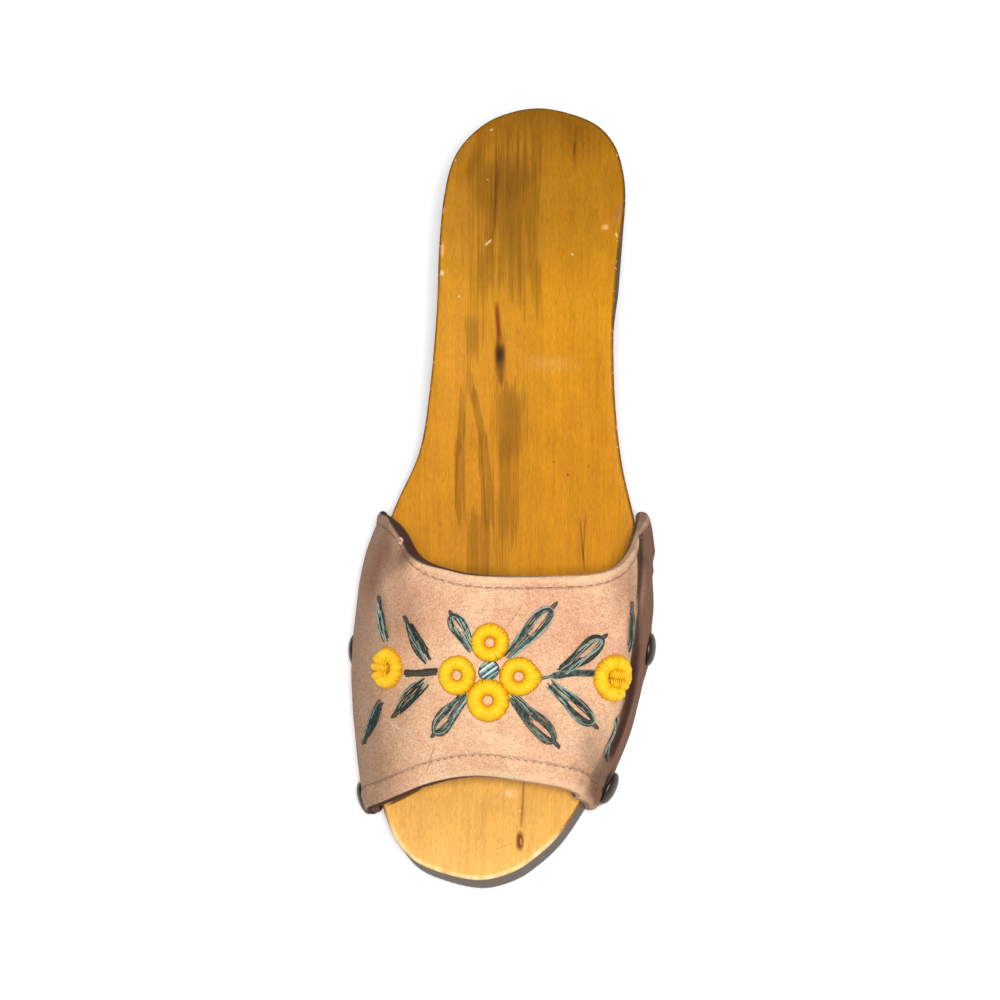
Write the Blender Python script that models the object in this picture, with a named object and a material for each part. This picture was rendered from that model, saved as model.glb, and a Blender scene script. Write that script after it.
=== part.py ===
"""Wooden wedge sandal, left shoe.

A carved wooden sole carries a hollow suede strap, nailed to its sides with five dome nails.
A padded flower with two buds is worked on the strap.
Lengths are millimetres until a mesh is made, which is in metres.
Frame: +Z up, floor at Z = 0, toe towards -Y, big-toe (medial) side towards -X.
A station is a distance from the tip of the toe, along the sole.
"""

import math

import bmesh
import bpy
import numpy as np
from mathutils import Matrix, Vector

MM = 0.001
FIT_GAP = 0.3

SOLE_LENGTH = 240.0
SOLE_STEPS = 3
FOOTBED_COLUMNS = 6
RIM_ROUND = 1.2
TREAD_ROUND = 1.8
ROUND_SHARE = 0.3
SLOPE_REACH = 0.5

# One row for each cross section of the wooden block. Half widths are measured from the centre line,
# rim and under are heights above the floor, dish is how far the footbed sinks below its rim,
# and tuck is how far the wall's foot stands in from its rim on each side.
SOLE_COLUMNS = ("station", "medial", "lateral", "rim", "under", "dish", "medial_tuck", "lateral_tuck")
SOLE_ROWS = (
    (0.0, 0.0, 0.0, 25.4, 9.6, 0.0, 0.4, 0.4),
    (3.0, 16.0, 10.5, 24.9, 8.8, 0.0, 0.5, 0.5),
    (9.0, 23.2, 18.1, 23.9, 7.2, 0.1, 0.6, 0.6),
    (18.0, 29.3, 25.2, 22.6, 5.2, 0.3, 0.6, 0.6),
    (32.0, 34.9, 31.8, 21.2, 2.8, 0.5, 0.4, 0.5),
    (50.0, 39.5, 38.0, 20.4, 0.7, 0.7, 0.3, 0.3),
    (68.0, 42.3, 41.4, 20.6, 0.0, 0.8, 0.3, 0.2),
    (84.0, 43.0, 42.4, 22.0, 0.0, 0.8, 0.3, 0.1),
    (100.0, 41.7, 42.4, 25.2, 0.0, 0.8, 0.4, 0.1),
    (116.0, 36.6, 38.9, 30.6, 1.8, 0.8, 0.8, 0.4),
    (132.0, 30.2, 33.8, 37.4, 4.2, 0.9, 1.3, 1.1),
    (150.0, 28.2, 30.3, 45.2, 4.2, 1.1, 2.0, 1.9),
    (172.0, 27.7, 28.2, 53.6, 1.4, 1.5, 2.8, 2.8),
    (194.0, 28.6, 28.2, 59.8, 0.0, 2.0, 3.4, 3.4),
    (210.0, 28.4, 28.9, 63.0, 0.0, 2.0, 3.8, 3.8),
    (222.0, 26.3, 26.9, 64.8, 0.0, 1.6, 4.0, 4.0),
    (231.0, 20.5, 22.5, 65.8, 0.0, 0.9, 4.2, 4.2),
    (237.0, 12.2, 14.4, 66.3, 0.0, 0.3, 4.4, 4.4),
    (240.0, 0.0, 0.0, 66.5, 0.0, 0.0, 4.4, 4.4),
)

PANEL_WALL = 2.5
HEM_WALL = 3.2
LIP_WALL = 2.5
LIP_WIDTH = 1.2
FRONT_HEM = 6.5
REAR_HEM = 3.6
STRAP_FOOT = 4.0
STRAP_ACROSS = 46
STRAP_PANEL_ROWS = 8
STRAP_SECTIONS = 41
ARCH_STEPS = 8

# One row for each edge or middle of the strap: where its two sides cross the sole's rim, how far
# behind that their feet stand (slant), how far the sides stand out from the sole's wall (flare), how
# much further their feet do (splay), how far its medial side swells and its sides lean, where its
# crown stands, and how high the inside of its crown is.
STRAP_COLUMNS = (
    "medial", "lateral", "medial_slant", "lateral_slant", "medial_flare", "lateral_flare",
    "medial_splay", "lateral_splay", "swell", "lean", "crown", "crown_height",
)
STRAP_ROWS = (
    (19.4, 26.0, 3.5, 5.0, 0.6, 0.6, 0.0, 0.0, 1.2, 0.0, 26.8, 44.5),
    (66.0, 73.0, 0.0, 0.0, 0.15, 0.1, 0.15, 0.15, 0.6, 0.25, 56.0, 54.5),
    (112.0, 117.2, -5.0, -7.0, 0.0, 0.3, 0.6, 0.6, 0.0, 1.0, 84.0, 62.0),
)

# One row for each bend of the arch, from the medial rim to the lateral rim. Across is a share of the
# half width between the rims. Rises and reaches, at the front and rear edge, are shares of the height
# and of the length from the rim to the crown. Swelling is the share of the swell that the bend takes,
# and leaning is how far it moves towards the lateral side where the lean is 1.
ARCH_COLUMNS = ("across", "front_rise", "front_reach", "rear_rise", "rear_reach", "swelling", "leaning")
ARCH_ROWS = (
    (-0.995, 0.08, 0.00, 0.14, 0.06, 0.7, 0.8),
    (-0.975, 0.20, 0.00, 0.32, 0.16, 1.0, 2.6),
    (-0.880, 0.37, 0.02, 0.60, 0.42, 0.6, 5.0),
    (-0.710, 0.55, 0.22, 0.82, 0.80, 0.1, 5.6),
    (-0.400, 0.83, 0.62, 0.955, 0.965, 0.0, 4.4),
    (0.000, 1.00, 1.00, 1.000, 1.000, 0.0, 0.0),
    (0.450, 0.98, 0.98, 0.985, 0.955, 0.0, 0.0),
    (0.800, 0.86, 0.86, 0.905, 0.860, 0.0, 0.6),
    (0.915, 0.70, 0.70, 0.740, 0.640, 0.0, 1.2),
    (0.905, 0.50, 0.50, 0.500, 0.360, 0.0, 3.2),
    (0.990, 0.26, 0.26, 0.240, 0.120, 0.0, 0.4),
)

# One row for each nail: how far behind the strap's front edge, how high above the sole's underside,
# and the thickness of strap under the head.
NAIL_COLUMNS = ("side", "place", "reach", "height", "strap_wall")
NAIL_ROWS = (
    ("medial", "front", 6.6, 12.5, HEM_WALL),
    ("medial", "middle", 53.1, 13.0, PANEL_WALL),
    ("medial", "rear", 76.0, 9.6, PANEL_WALL),
    ("lateral", "front", 9.8, 11.5, HEM_WALL),
    ("lateral", "middle", 54.3, 12.0, PANEL_WALL),
)
NAIL_HEAD_RADIUS = 5.2
NAIL_HEAD_HEIGHT = 2.6
NAIL_HEAD_RIM = 0.5
NAIL_DOME_ANGLES = (90, 66, 42, 20, 0)
NAIL_SHANK_RADIUS = 1.1
NAIL_POINT = 2.0
NAIL_GRIP = 10.0
NAIL_SIDES = 16
CUTTER_SPARE = 1.0

# The flower's place on the strap: across from the crown, and share of the way from front to rear edge.
FLOWER_ACROSS = -3.6
FLOWER_ALONG = 0.50
PETAL_REACH = 8.9
PETAL_RADIUS = 5.4
PETAL_HOLE = 1.7
PETAL_HEIGHT = 2.0
PETAL_POINT = 0.10
PETAL_POINT_SHARPNESS = 6
PETAL_ANGLES = (0, 45, 90, 135, 180)
PETAL_TURNS = {"rear": 94.0, "medial": 191.0, "front": 272.0, "lateral": 355.0}
EYE_RADIUS = 2.6
EYE_HEIGHT = 1.6
BUD_RADIUS = 5.9
BUD_HEIGHT = 2.4
BUD_LOBES = 6
BUD_LOBE_DEPTH = 0.05
BUD_POINT = 0.22
BUD_POINT_SHARPNESS = 8
BUD_PLACES = {"medial": (-40.2, 0.462, 180.0), "lateral": (35.7, 0.50, 0.0)}
MOTIF_GAP = 0.4
MOTIF_SIDES = 24
MOUND_SEAT_SHARES = (0.35, 0.7)
MOUND_ANGLES = (0, 30, 60)
SOFT_SHADE_ANGLE = 80.0


def named_rows(columns, rows):
    """Each row of a table as a dictionary of its columns."""
    return [dict(zip(columns, row)) for row in rows]


def smooth(rows, before, after, steps):
    """Catmull-Rom curve through the rows, with one phantom row added at each end."""
    points = np.vstack([before, rows, after])
    samples = []
    for first in range(len(rows) - 1):
        p0, p1, p2, p3 = points[first : first + 4]
        for t in np.arange(steps) / steps:
            bend = 2 * p0 - 5 * p1 + 4 * p2 - p3
            twist = 3 * p1 - p0 - 3 * p2 + p3
            samples.append(p1 + 0.5 * t * ((p2 - p0) + t * (bend + t * twist)))
    samples.append(points[-2])
    return np.array(samples)


def around_the_end(row):
    """The phantom row past a tip: the outline turns the tip and comes back on the other side."""
    turned = row.copy()
    turned[1:3] = -row[2:0:-1]
    turned[6:8] = row[7:5:-1]
    return turned


def sole_table():
    """The sole's columns at closely spaced stations."""
    rows = np.array(SOLE_ROWS)
    samples = smooth(rows, around_the_end(rows[1]), around_the_end(rows[-2]), SOLE_STEPS)
    table = dict(zip(SOLE_COLUMNS, samples.T))
    table["under"] = np.maximum(table["under"], 0.0)
    return table


SOLE = sole_table()


def outline():
    """Closed plan outline of the rim: points, inward normals, tucks and rows of the sole table."""
    count = len(SOLE["station"])
    order = list(range(count)) + list(range(count - 2, 0, -1))
    medial = np.arange(len(order)) < count
    sides = np.where(medial, -SOLE["medial"][order], SOLE["lateral"][order])
    tuck = np.where(medial, SOLE["medial_tuck"][order], SOLE["lateral_tuck"][order])
    points = np.column_stack([sides, SOLE["station"][order] - SOLE_LENGTH / 2])
    along = np.roll(points, -1, axis=0) - np.roll(points, 1, axis=0)
    along /= np.linalg.norm(along, axis=1, keepdims=True)
    inward = np.column_stack([along[:, 1], -along[:, 0]])
    return points, inward, tuck, np.array(order)


def new_object(name, bm, material, smooth_angle=40.0):
    """A named object from a bmesh in millimetres."""
    bmesh.ops.recalc_face_normals(bm, faces=bm.faces)
    bmesh.ops.scale(bm, vec=(MM, MM, MM), verts=bm.verts)
    mesh = bpy.data.meshes.new(name)
    bm.to_mesh(mesh)
    bm.free()
    mesh.shade_smooth()
    mesh.set_sharp_from_angle(angle=math.radians(smooth_angle))
    obj = bpy.data.objects.new(name, mesh)
    if material:
        mesh.materials.append(material)
    bpy.context.scene.collection.objects.link(obj)
    return obj


def new_material(name, colour, roughness, metallic=0.0):
    material = bpy.data.materials.new(name)
    material.use_nodes = True
    shader = material.node_tree.nodes["Principled BSDF"]
    shader.inputs["Base Color"].default_value = (*colour, 1.0)
    shader.inputs["Roughness"].default_value = roughness
    shader.inputs["Metallic"].default_value = metallic
    return material


def join_rings(bm, lower, upper):
    """Quads between two closed rings of the same count."""
    count = len(lower)
    for i in range(count):
        j = (i + 1) % count
        bm.faces.new((lower[i], lower[j], upper[j], upper[i]))


def fill_plate(bm, ring, count, heights):
    """Closes a ring from toe to heel with rungs across it; heights gives a rung's Z at each share."""
    last = count - 1
    rungs = [[ring[0]]]
    for i in range(1, last):
        medial = ring[i]
        lateral = ring[len(ring) - i]
        rung = [medial]
        for column in range(1, FOOTBED_COLUMNS):
            share = column / FOOTBED_COLUMNS
            place = medial.co.lerp(lateral.co, share)
            place.z = heights(i, share)
            rung.append(bm.verts.new(place))
        rungs.append(rung + [lateral])
    rungs.append([ring[last]])
    for near, far in zip(rungs, rungs[1:]):
        for column in range(FOOTBED_COLUMNS):
            a = near[min(column, len(near) - 1)]
            b = near[min(column + 1, len(near) - 1)]
            c = far[min(column + 1, len(far) - 1)]
            d = far[min(column, len(far) - 1)]
            corners = list(dict.fromkeys((a, b, c, d)))
            bm.faces.new(corners)


def make_sole(material):
    """The carved wedge: rings up its wall, closed by the tread below and the dished footbed above."""
    points, inward, tuck, order = outline()
    rim = SOLE["rim"][order]
    under = SOLE["under"][order]
    edge = np.zeros(len(order))
    levels = (
        (tuck + TREAD_ROUND, under),
        (tuck + ROUND_SHARE * TREAD_ROUND, under + ROUND_SHARE * TREAD_ROUND),
        (tuck, under + TREAD_ROUND),
        (edge, rim - RIM_ROUND),
        (edge + ROUND_SHARE * RIM_ROUND, rim - ROUND_SHARE * RIM_ROUND),
        (edge + RIM_ROUND, rim),
    )
    bm = bmesh.new()
    rings = []
    for inset, height in levels:
        plan = points + inward * inset[:, None]
        rings.append([bm.verts.new((*place, z)) for place, z in zip(plan, height)])
    for lower, upper in zip(rings, rings[1:]):
        join_rings(bm, lower, upper)
    count = len(SOLE["station"])

    def footbed(i, share):
        return SOLE["rim"][i] - SOLE["dish"][i] * 4 * share * (1 - share)

    def tread(i, share):
        return SOLE["under"][i]

    fill_plate(bm, rings[-1], count, footbed)
    fill_plate(bm, rings[0], count, tread)
    return new_object("sole", bm, material)


def sole_at(column, station):
    return np.interp(station, SOLE["station"], SOLE[column])


def wall_point(side, station, height, out):
    """A point standing out from the sole's wall, and the wall's outward direction there."""
    sign = -1.0 if side == "medial" else 1.0
    ahead = sole_at(side, station + SLOPE_REACH)
    behind = sole_at(side, station - SLOPE_REACH)
    slope = (ahead - behind) / (2 * SLOPE_REACH)
    plan = np.array([sign, -slope, 0.0]) / math.hypot(1.0, slope)
    foot = sole_at("under", station) + TREAD_ROUND
    top = sole_at("rim", station) - RIM_ROUND
    lean = sole_at(f"{side}_tuck", station) / (top - foot)
    tucked = lean * np.clip(top - height, 0.0, top - foot)
    rim_point = np.array([sign * sole_at(side, station), station - SOLE_LENGTH / 2, height])
    outward = plan - np.array([0.0, 0.0, lean])
    return rim_point + plan * (out - tucked), outward / np.linalg.norm(outward)


def strap_row(along):
    """The strap's columns at a share of the way from its front edge to its rear edge."""
    front, middle, rear = np.array(STRAP_ROWS)
    bend = 2 * (front + rear) - 4 * middle
    row = front + along * (rear - front - bend) + along**2 * bend
    return dict(zip(STRAP_COLUMNS, row))


def strap_section(along):
    """One arch of the strap's inside, from foot to foot."""
    row = strap_row(along)
    crown = np.array([0.0, row["crown"] - SOLE_LENGTH / 2, row["crown_height"]])
    ends = {}
    for side in ("medial", "lateral"):
        out = FIT_GAP + row[f"{side}_flare"]
        low = row[side] + row[f"{side}_slant"]
        splayed = out + row[f"{side}_splay"]
        foot = wall_point(side, low, sole_at("under", low) + STRAP_FOOT, splayed)[0]
        rim = wall_point(side, row[side], sole_at("rim", row[side]), out)[0]
        ends[side] = [foot, rim]
    left = ends["medial"][1]
    right = ends["lateral"][1]
    arch = []
    for bend in named_rows(ARCH_COLUMNS, ARCH_ROWS):
        rise = bend["front_rise"] + along * (bend["rear_rise"] - bend["front_rise"])
        reach = bend["front_reach"] + along * (bend["rear_reach"] - bend["front_reach"])
        base = left + (right - left) * (bend["across"] + 1) / 2
        aside = bend["leaning"] * row["lean"] - bend["swelling"] * row["swell"]
        arch.append(base + (crown - base) * (0.0, reach, rise) + (aside, 0.0, 0.0))
    bends = np.array([*ends["medial"], *arch, *reversed(ends["lateral"])])
    return smooth(bends, 2 * bends[0] - bends[1], 2 * bends[-1] - bends[-2], ARCH_STEPS)


def even_steps(points, count):
    """The same curve with its points spaced evenly along it."""
    lengths = np.linalg.norm(np.diff(points, axis=0), axis=1)
    travelled = np.concatenate([[0.0], np.cumsum(lengths)])
    wanted = np.linspace(0.0, travelled[-1], count)
    return np.column_stack([np.interp(wanted, travelled, axis) for axis in points.T])


def sheet_normals(sheet):
    """Outward normals of a grid of points whose rows run front to rear and columns medial to lateral."""
    across = np.gradient(sheet, axis=1)
    along = np.gradient(sheet, axis=0)
    normals = np.cross(across, along)
    return normals / np.linalg.norm(normals, axis=2, keepdims=True)


STRAP_INSIDE = np.array(
    [even_steps(strap_section(along), STRAP_ACROSS + 1) for along in np.linspace(0.0, 1.0, STRAP_SECTIONS)]
)
STRAP_OUTSIDE = STRAP_INSIDE + PANEL_WALL * sheet_normals(STRAP_INSIDE)


def strap_rows():
    """The strap's grid: rows that keep the hems one width, and each row's share of the hem's wall."""
    lip = LIP_WIDTH
    columns = []
    for column in range(STRAP_ACROSS + 1):
        line = STRAP_INSIDE[:, column]
        lengths = np.linalg.norm(np.diff(line, axis=0), axis=1)
        travelled = np.concatenate([[0.0], np.cumsum(lengths)])
        length = travelled[-1]
        front = [0.0, lip, FRONT_HEM, FRONT_HEM + lip]
        rear = [length - REAR_HEM - lip, length - REAR_HEM, length - lip, length]
        panel = np.linspace(front[-1], rear[0], STRAP_PANEL_ROWS + 1)[1:-1]
        wanted = np.concatenate([front, panel, rear])
        columns.append(np.column_stack([np.interp(wanted, travelled, axis) for axis in line.T]))
    thin = [PANEL_WALL] * (STRAP_PANEL_ROWS + 1)
    walls = [LIP_WALL, HEM_WALL, HEM_WALL, *thin, HEM_WALL, HEM_WALL, LIP_WALL]
    return np.array(columns).transpose(1, 0, 2), walls


def make_strap(material):
    """The upper: one hollow arch, thickened outward from its inside, with stepped hems."""
    rows, walls = strap_rows()
    bm = bmesh.new()
    grid = [[bm.verts.new(place) for place in row] for row in rows]
    for near, far in zip(grid, grid[1:]):
        for corners in zip(near, near[1:], far[1:], far):
            bm.faces.new(corners)
    bm.verts.index_update()
    members = [[vertex.index for vertex in row] for row in grid]
    strap = new_object("strap", bm, material)
    group = strap.vertex_groups.new(name="wall")
    for indices, wall in zip(members, walls):
        group.add(indices, wall / HEM_WALL, "REPLACE")
    thicken = strap.modifiers.new("wall", "SOLIDIFY")
    thicken.thickness = HEM_WALL * MM
    thicken.offset = 1.0
    thicken.use_even_offset = True
    thicken.vertex_group = group.name
    thicken.thickness_vertex_group = 0.0
    return strap


def spin_profile(bm, profile, sides):
    """Turns a profile of radius and height pairs, given from the top down, about +Z."""
    line = [bm.verts.new((radius, 0.0, height)) for radius, height in profile]
    edges = [bm.edges.new(pair) for pair in zip(line, line[1:])]
    bmesh.ops.spin(
        bm, geom=line + edges, cent=(0, 0, 0), axis=(0, 0, 1), angle=2 * math.pi, steps=sides, use_merge=True
    )
    bmesh.ops.remove_doubles(bm, verts=bm.verts, dist=0.001)


def stand_on(bm, place, outward):
    """Turns a bmesh made along +Z to point outward, and moves it to its place."""
    turn = Vector((0, 0, 1)).rotation_difference(Vector(outward)).to_matrix().to_4x4()
    bmesh.ops.transform(bm, matrix=Matrix.Translation(Vector(place)) @ turn, verts=bm.verts)


def nail_seats():
    """Name, point on the sole's wall, outward direction and depth of strap for each nail."""
    front, _, rear = named_rows(STRAP_COLUMNS, STRAP_ROWS)
    for nail in named_rows(NAIL_COLUMNS, NAIL_ROWS):
        side = nail["side"]
        station = front[side] + nail["reach"]
        row = strap_row(nail["reach"] / (rear[side] - front[side]))
        under = sole_at("under", station)
        rim = sole_at("rim", station)
        level = under + nail["height"]
        splayed = row[f"{side}_splay"] * (rim - level) / (rim - under - STRAP_FOOT)
        point, outward = wall_point(side, station, level, 0.0)
        depth = row[f"{side}_flare"] + splayed + nail["strap_wall"] + 2 * FIT_GAP
        yield f"nail_{side}_{nail['place']}", point, outward, depth


def make_nails(material):
    """Domed heads lying on the strap, each with a pointed shank through it into the sole."""
    arc = [math.radians(angle) for angle in NAIL_DOME_ANGLES]
    dome = NAIL_HEAD_HEIGHT - NAIL_HEAD_RIM
    head = [(NAIL_HEAD_RADIUS * math.cos(t), NAIL_HEAD_RIM + dome * math.sin(t)) for t in arc]
    for name, point, outward, seat in nail_seats():
        tip = -seat - NAIL_GRIP
        shank = [(NAIL_SHANK_RADIUS, 0.0), (NAIL_SHANK_RADIUS, tip + NAIL_POINT), (0.0, tip)]
        bm = bmesh.new()
        spin_profile(bm, [*head, (NAIL_HEAD_RADIUS, 0.0), *shank], NAIL_SIDES)
        stand_on(bm, point + outward * seat, outward)
        new_object(name, bm, material)


def cut_nail_holes(*pieces):
    """One set of cylinders cuts the clearance holes in the strap and the blind bores in the sole."""
    bm = bmesh.new()
    for _, point, outward, seat in nail_seats():
        one = bmesh.new()
        deep = NAIL_GRIP + FIT_GAP
        long = seat + deep + CUTTER_SPARE
        bmesh.ops.create_cone(
            one,
            cap_ends=True,
            segments=NAIL_SIDES,
            radius1=NAIL_SHANK_RADIUS + FIT_GAP,
            radius2=NAIL_SHANK_RADIUS + FIT_GAP,
            depth=long,
        )
        stand_on(one, point + outward * (long / 2 - deep), outward)
        hole = bpy.data.meshes.new("hole")
        one.to_mesh(hole)
        one.free()
        bm.from_mesh(hole)
        bpy.data.meshes.remove(hole)
    cutter = new_object("nail_holes", bm, None)
    cutter.hide_render = True
    cutter.display_type = "WIRE"
    for piece in pieces:
        cut = piece.modifiers.new("nail_holes", "BOOLEAN")
        cut.object = cutter
        cut.solver = "EXACT"


def grid_value(grid, row, column):
    """Bilinear reading of a grid of points at fractional row and column."""
    r = min(max(row, 0.0), len(grid) - 1.001)
    c = min(max(column, 0.0), grid.shape[1] - 1.001)
    i, j = int(r), int(c)
    s, t = r - i, c - j
    near = grid[i, j] * (1 - t) + grid[i, j + 1] * t
    far = grid[i + 1, j] * (1 - t) + grid[i + 1, j + 1] * t
    return near * (1 - s) + far * s


OUTSIDE_NORMALS = sheet_normals(STRAP_OUTSIDE)


def on_strap(across, along, x, y, lift):
    """A point above the strap: x and y are millimetres on the cloth from a place across and along it."""
    rows, columns = STRAP_OUTSIDE.shape[:2]
    home = along * (rows - 1)
    arch = STRAP_OUTSIDE[int(home)]
    pitch = np.linalg.norm(np.diff(arch, axis=0), axis=1).mean()
    column = (columns - 1) / 2 + (across + x) / pitch
    line = STRAP_OUTSIDE[:, int(column)]
    spacing = np.linalg.norm(np.diff(line, axis=0), axis=1).mean()
    row = home + y / spacing
    return grid_value(STRAP_OUTSIDE, row, column) + lift * grid_value(OUTSIDE_NORMALS, row, column)


def motif_ring(bm, across, along, centre, radius_at, lift):
    """A closed ring of points on the strap about a motif's centre."""
    ring = []
    for turn in np.linspace(0.0, 2 * math.pi, MOTIF_SIDES, endpoint=False):
        radius = radius_at(turn)
        x = centre[0] + radius * math.cos(turn)
        y = centre[1] + radius * math.sin(turn)
        ring.append(bm.verts.new(on_strap(across, along, x, y, lift)))
    return ring


def make_petal(name, turn, material):
    """A raised ring with an open middle, drawn out a little to a point away from the eye."""
    heading = math.radians(turn)
    centre = (PETAL_REACH * math.cos(heading), PETAL_REACH * math.sin(heading))
    bm = bmesh.new()
    rings = []
    for angle in PETAL_ANGLES:
        share = (1 - math.cos(math.radians(angle))) / 2
        lift = MOTIF_GAP + PETAL_HEIGHT * math.sin(math.radians(angle))

        def radius_at(t):
            point = PETAL_POINT * max(0.0, math.cos(t - heading)) ** PETAL_POINT_SHARPNESS
            return PETAL_HOLE + share * (PETAL_RADIUS * (1 + point) - PETAL_HOLE)

        rings.append(motif_ring(bm, FLOWER_ACROSS, FLOWER_ALONG, centre, radius_at, lift))
    for lower, upper in zip(rings, rings[1:] + rings[:1]):
        join_rings(bm, lower, upper)
    new_object(name, bm, material, SOFT_SHADE_ANGLE)


def make_mound(name, across, along, radius_at, height, material):
    """A low padded mound whose underside follows the strap."""
    levels = [(share, 0.0) for share in MOUND_SEAT_SHARES]
    for angle in MOUND_ANGLES:
        levels.append((math.cos(math.radians(angle)), height * math.sin(math.radians(angle))))
    bm = bmesh.new()
    rings = []
    for share, rise in levels:
        rings.append(
            motif_ring(bm, across, along, (0.0, 0.0), lambda t: share * radius_at(t), MOTIF_GAP + rise)
        )
    for lower, upper in zip(rings, rings[1:]):
        join_rings(bm, lower, upper)
    seat = bm.verts.new(on_strap(across, along, 0.0, 0.0, MOTIF_GAP))
    peak = bm.verts.new(on_strap(across, along, 0.0, 0.0, MOTIF_GAP + height))
    for i in range(MOTIF_SIDES):
        j = (i + 1) % MOTIF_SIDES
        bm.faces.new((rings[0][j], rings[0][i], seat))
        bm.faces.new((rings[-1][i], rings[-1][j], peak))
    new_object(name, bm, material, SOFT_SHADE_ANGLE)


def make_flower(yellow, teal):
    """Four ring petals about a knotted eye."""
    for place, turn in PETAL_TURNS.items():
        make_petal(f"petal_{place}", turn, yellow)
    make_mound("flower_eye", FLOWER_ACROSS, FLOWER_ALONG, lambda t: EYE_RADIUS, EYE_HEIGHT, teal)


def make_buds(yellow):
    """Two tulip buds, pointed towards the flower, with three lobes on the far side."""
    for side, (across, along, turn) in BUD_PLACES.items():
        heading = math.radians(turn)

        def radius_at(t):
            away = math.cos(t - heading)
            lobes = BUD_LOBE_DEPTH * math.cos(BUD_LOBES * (t - heading)) * max(0.0, away)
            point = BUD_POINT * max(0.0, -away) ** BUD_POINT_SHARPNESS
            return BUD_RADIUS * (1.0 + lobes + point)

        make_mound(f"bud_{side}", across, along, radius_at, BUD_HEIGHT, yellow)


def centre_on_frame():
    """Hangs every piece on one empty that brings the middle of the box over the origin."""
    lows = []
    highs = []
    pieces = [obj for obj in bpy.context.scene.objects if not obj.hide_render]
    for obj in pieces:
        places = np.array([vertex.co for vertex in obj.data.vertices])
        lows.append(places.min(axis=0))
        highs.append(places.max(axis=0))
    middle = (np.min(lows, axis=0) + np.max(highs, axis=0)) / 2
    root = bpy.data.objects.new("sandal", None)
    bpy.context.scene.collection.objects.link(root)
    root.location = (-middle[0], -middle[1], 0.0)
    for obj in bpy.context.scene.objects:
        if obj is not root:
            obj.parent = root


def main():
    for obj in list(bpy.data.objects):
        bpy.data.objects.remove(obj)
    wood = new_material("varnished_wood", (0.62, 0.28, 0.04), 0.35)
    suede = new_material("pink_suede", (0.72, 0.42, 0.28), 0.9)
    nickel = new_material("nickel", (0.55, 0.52, 0.48), 0.25, 1.0)
    yellow = new_material("yellow_yarn", (0.90, 0.55, 0.03), 0.7)
    teal = new_material("teal_yarn", (0.16, 0.26, 0.22), 0.7)
    sole = make_sole(wood)
    strap = make_strap(suede)
    make_nails(nickel)
    cut_nail_holes(strap, sole)
    make_flower(yellow, teal)
    make_buds(yellow)
    centre_on_frame()


main()
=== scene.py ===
import math
import random

import bmesh
import bpy
import numpy as np
from mathutils import Matrix, Vector
from mathutils.bvhtree import BVHTree


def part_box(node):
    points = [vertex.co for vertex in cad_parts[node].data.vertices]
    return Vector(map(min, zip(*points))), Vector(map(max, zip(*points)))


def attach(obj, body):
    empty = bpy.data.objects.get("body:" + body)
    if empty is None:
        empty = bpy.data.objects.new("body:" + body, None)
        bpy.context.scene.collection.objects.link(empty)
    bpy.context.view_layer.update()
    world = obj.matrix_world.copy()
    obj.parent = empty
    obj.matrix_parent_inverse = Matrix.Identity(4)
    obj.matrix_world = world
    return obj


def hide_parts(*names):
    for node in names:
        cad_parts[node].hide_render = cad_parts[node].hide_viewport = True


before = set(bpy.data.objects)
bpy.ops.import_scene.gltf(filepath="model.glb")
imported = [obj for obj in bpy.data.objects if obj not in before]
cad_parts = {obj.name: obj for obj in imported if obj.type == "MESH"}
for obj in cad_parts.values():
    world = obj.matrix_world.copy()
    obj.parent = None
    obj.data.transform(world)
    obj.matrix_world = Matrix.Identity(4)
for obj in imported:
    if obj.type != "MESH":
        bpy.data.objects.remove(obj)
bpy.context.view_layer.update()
mm = 0.001
scene = bpy.context.scene
print("frame loaded,", len(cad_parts), "nodes")


# The photo's own camera. Its place is kept, and it is turned to look through the pixel named aim.
photo = {
    "place": (0.0792, -0.2743, 0.7762),
    "azimuth": 4.3,
    "elevation": 70.0,
    "focal": 2540.0,  # pixels
    "size": 1000.0,
    "aim": (302.0, 476.0),
    "sensor": 36.0,
    "clip": (0.01, 20.0),  # metres
    "reach": 765.0,  # millimetres to the strap
}


def photoAxes():
    a = math.radians(photo["azimuth"])
    e = math.radians(photo["elevation"])
    right = Vector((math.cos(a), math.sin(a), 0.0))
    back = Vector((math.sin(a) * math.cos(e), -math.cos(a) * math.cos(e), math.sin(e)))
    return right, back.cross(right), back


def photoRay(pixel):
    right, up, back = photoAxes()
    x = (pixel[0] - photo["size"] / 2) / photo["focal"]
    y = (pixel[1] - photo["size"] / 2) / photo["focal"]
    return (right * x - up * y - back).normalized()


# Where the photo's line of sight through a pixel meets a surface, in millimetres.
def seen(tree, pixel):
    start = Vector(photo["place"]) / mm
    ray = photoRay(pixel)
    hit = tree.ray_cast(start, ray)[0]
    if hit is None:  # just past an edge
        hit = tree.find_nearest(start + ray * photo["reach"])[0]
    return hit


def makeCamera():
    data = bpy.data.cameras.new("camera")
    data.sensor_width = photo["sensor"]
    data.lens = photo["focal"] / photo["size"] * photo["sensor"]
    data.clip_start, data.clip_end = photo["clip"]
    back = -photoRay(photo["aim"])
    right = photoAxes()[1].cross(back).normalized()
    turn = Matrix((right, back.cross(right), back)).transposed().to_4x4()
    camera = bpy.data.objects.new("camera", data)
    camera.matrix_world = Matrix.Translation(photo["place"]) @ turn
    scene.collection.objects.link(camera)
    scene.camera = camera


def srgb(red, green, blue):
    def linear(value):
        share = value / 255.0
        return share / 12.92 if share <= 0.04045 else ((share + 0.055) / 1.055) ** 2.4

    return (linear(red), linear(green), linear(blue), 1.0)


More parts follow.
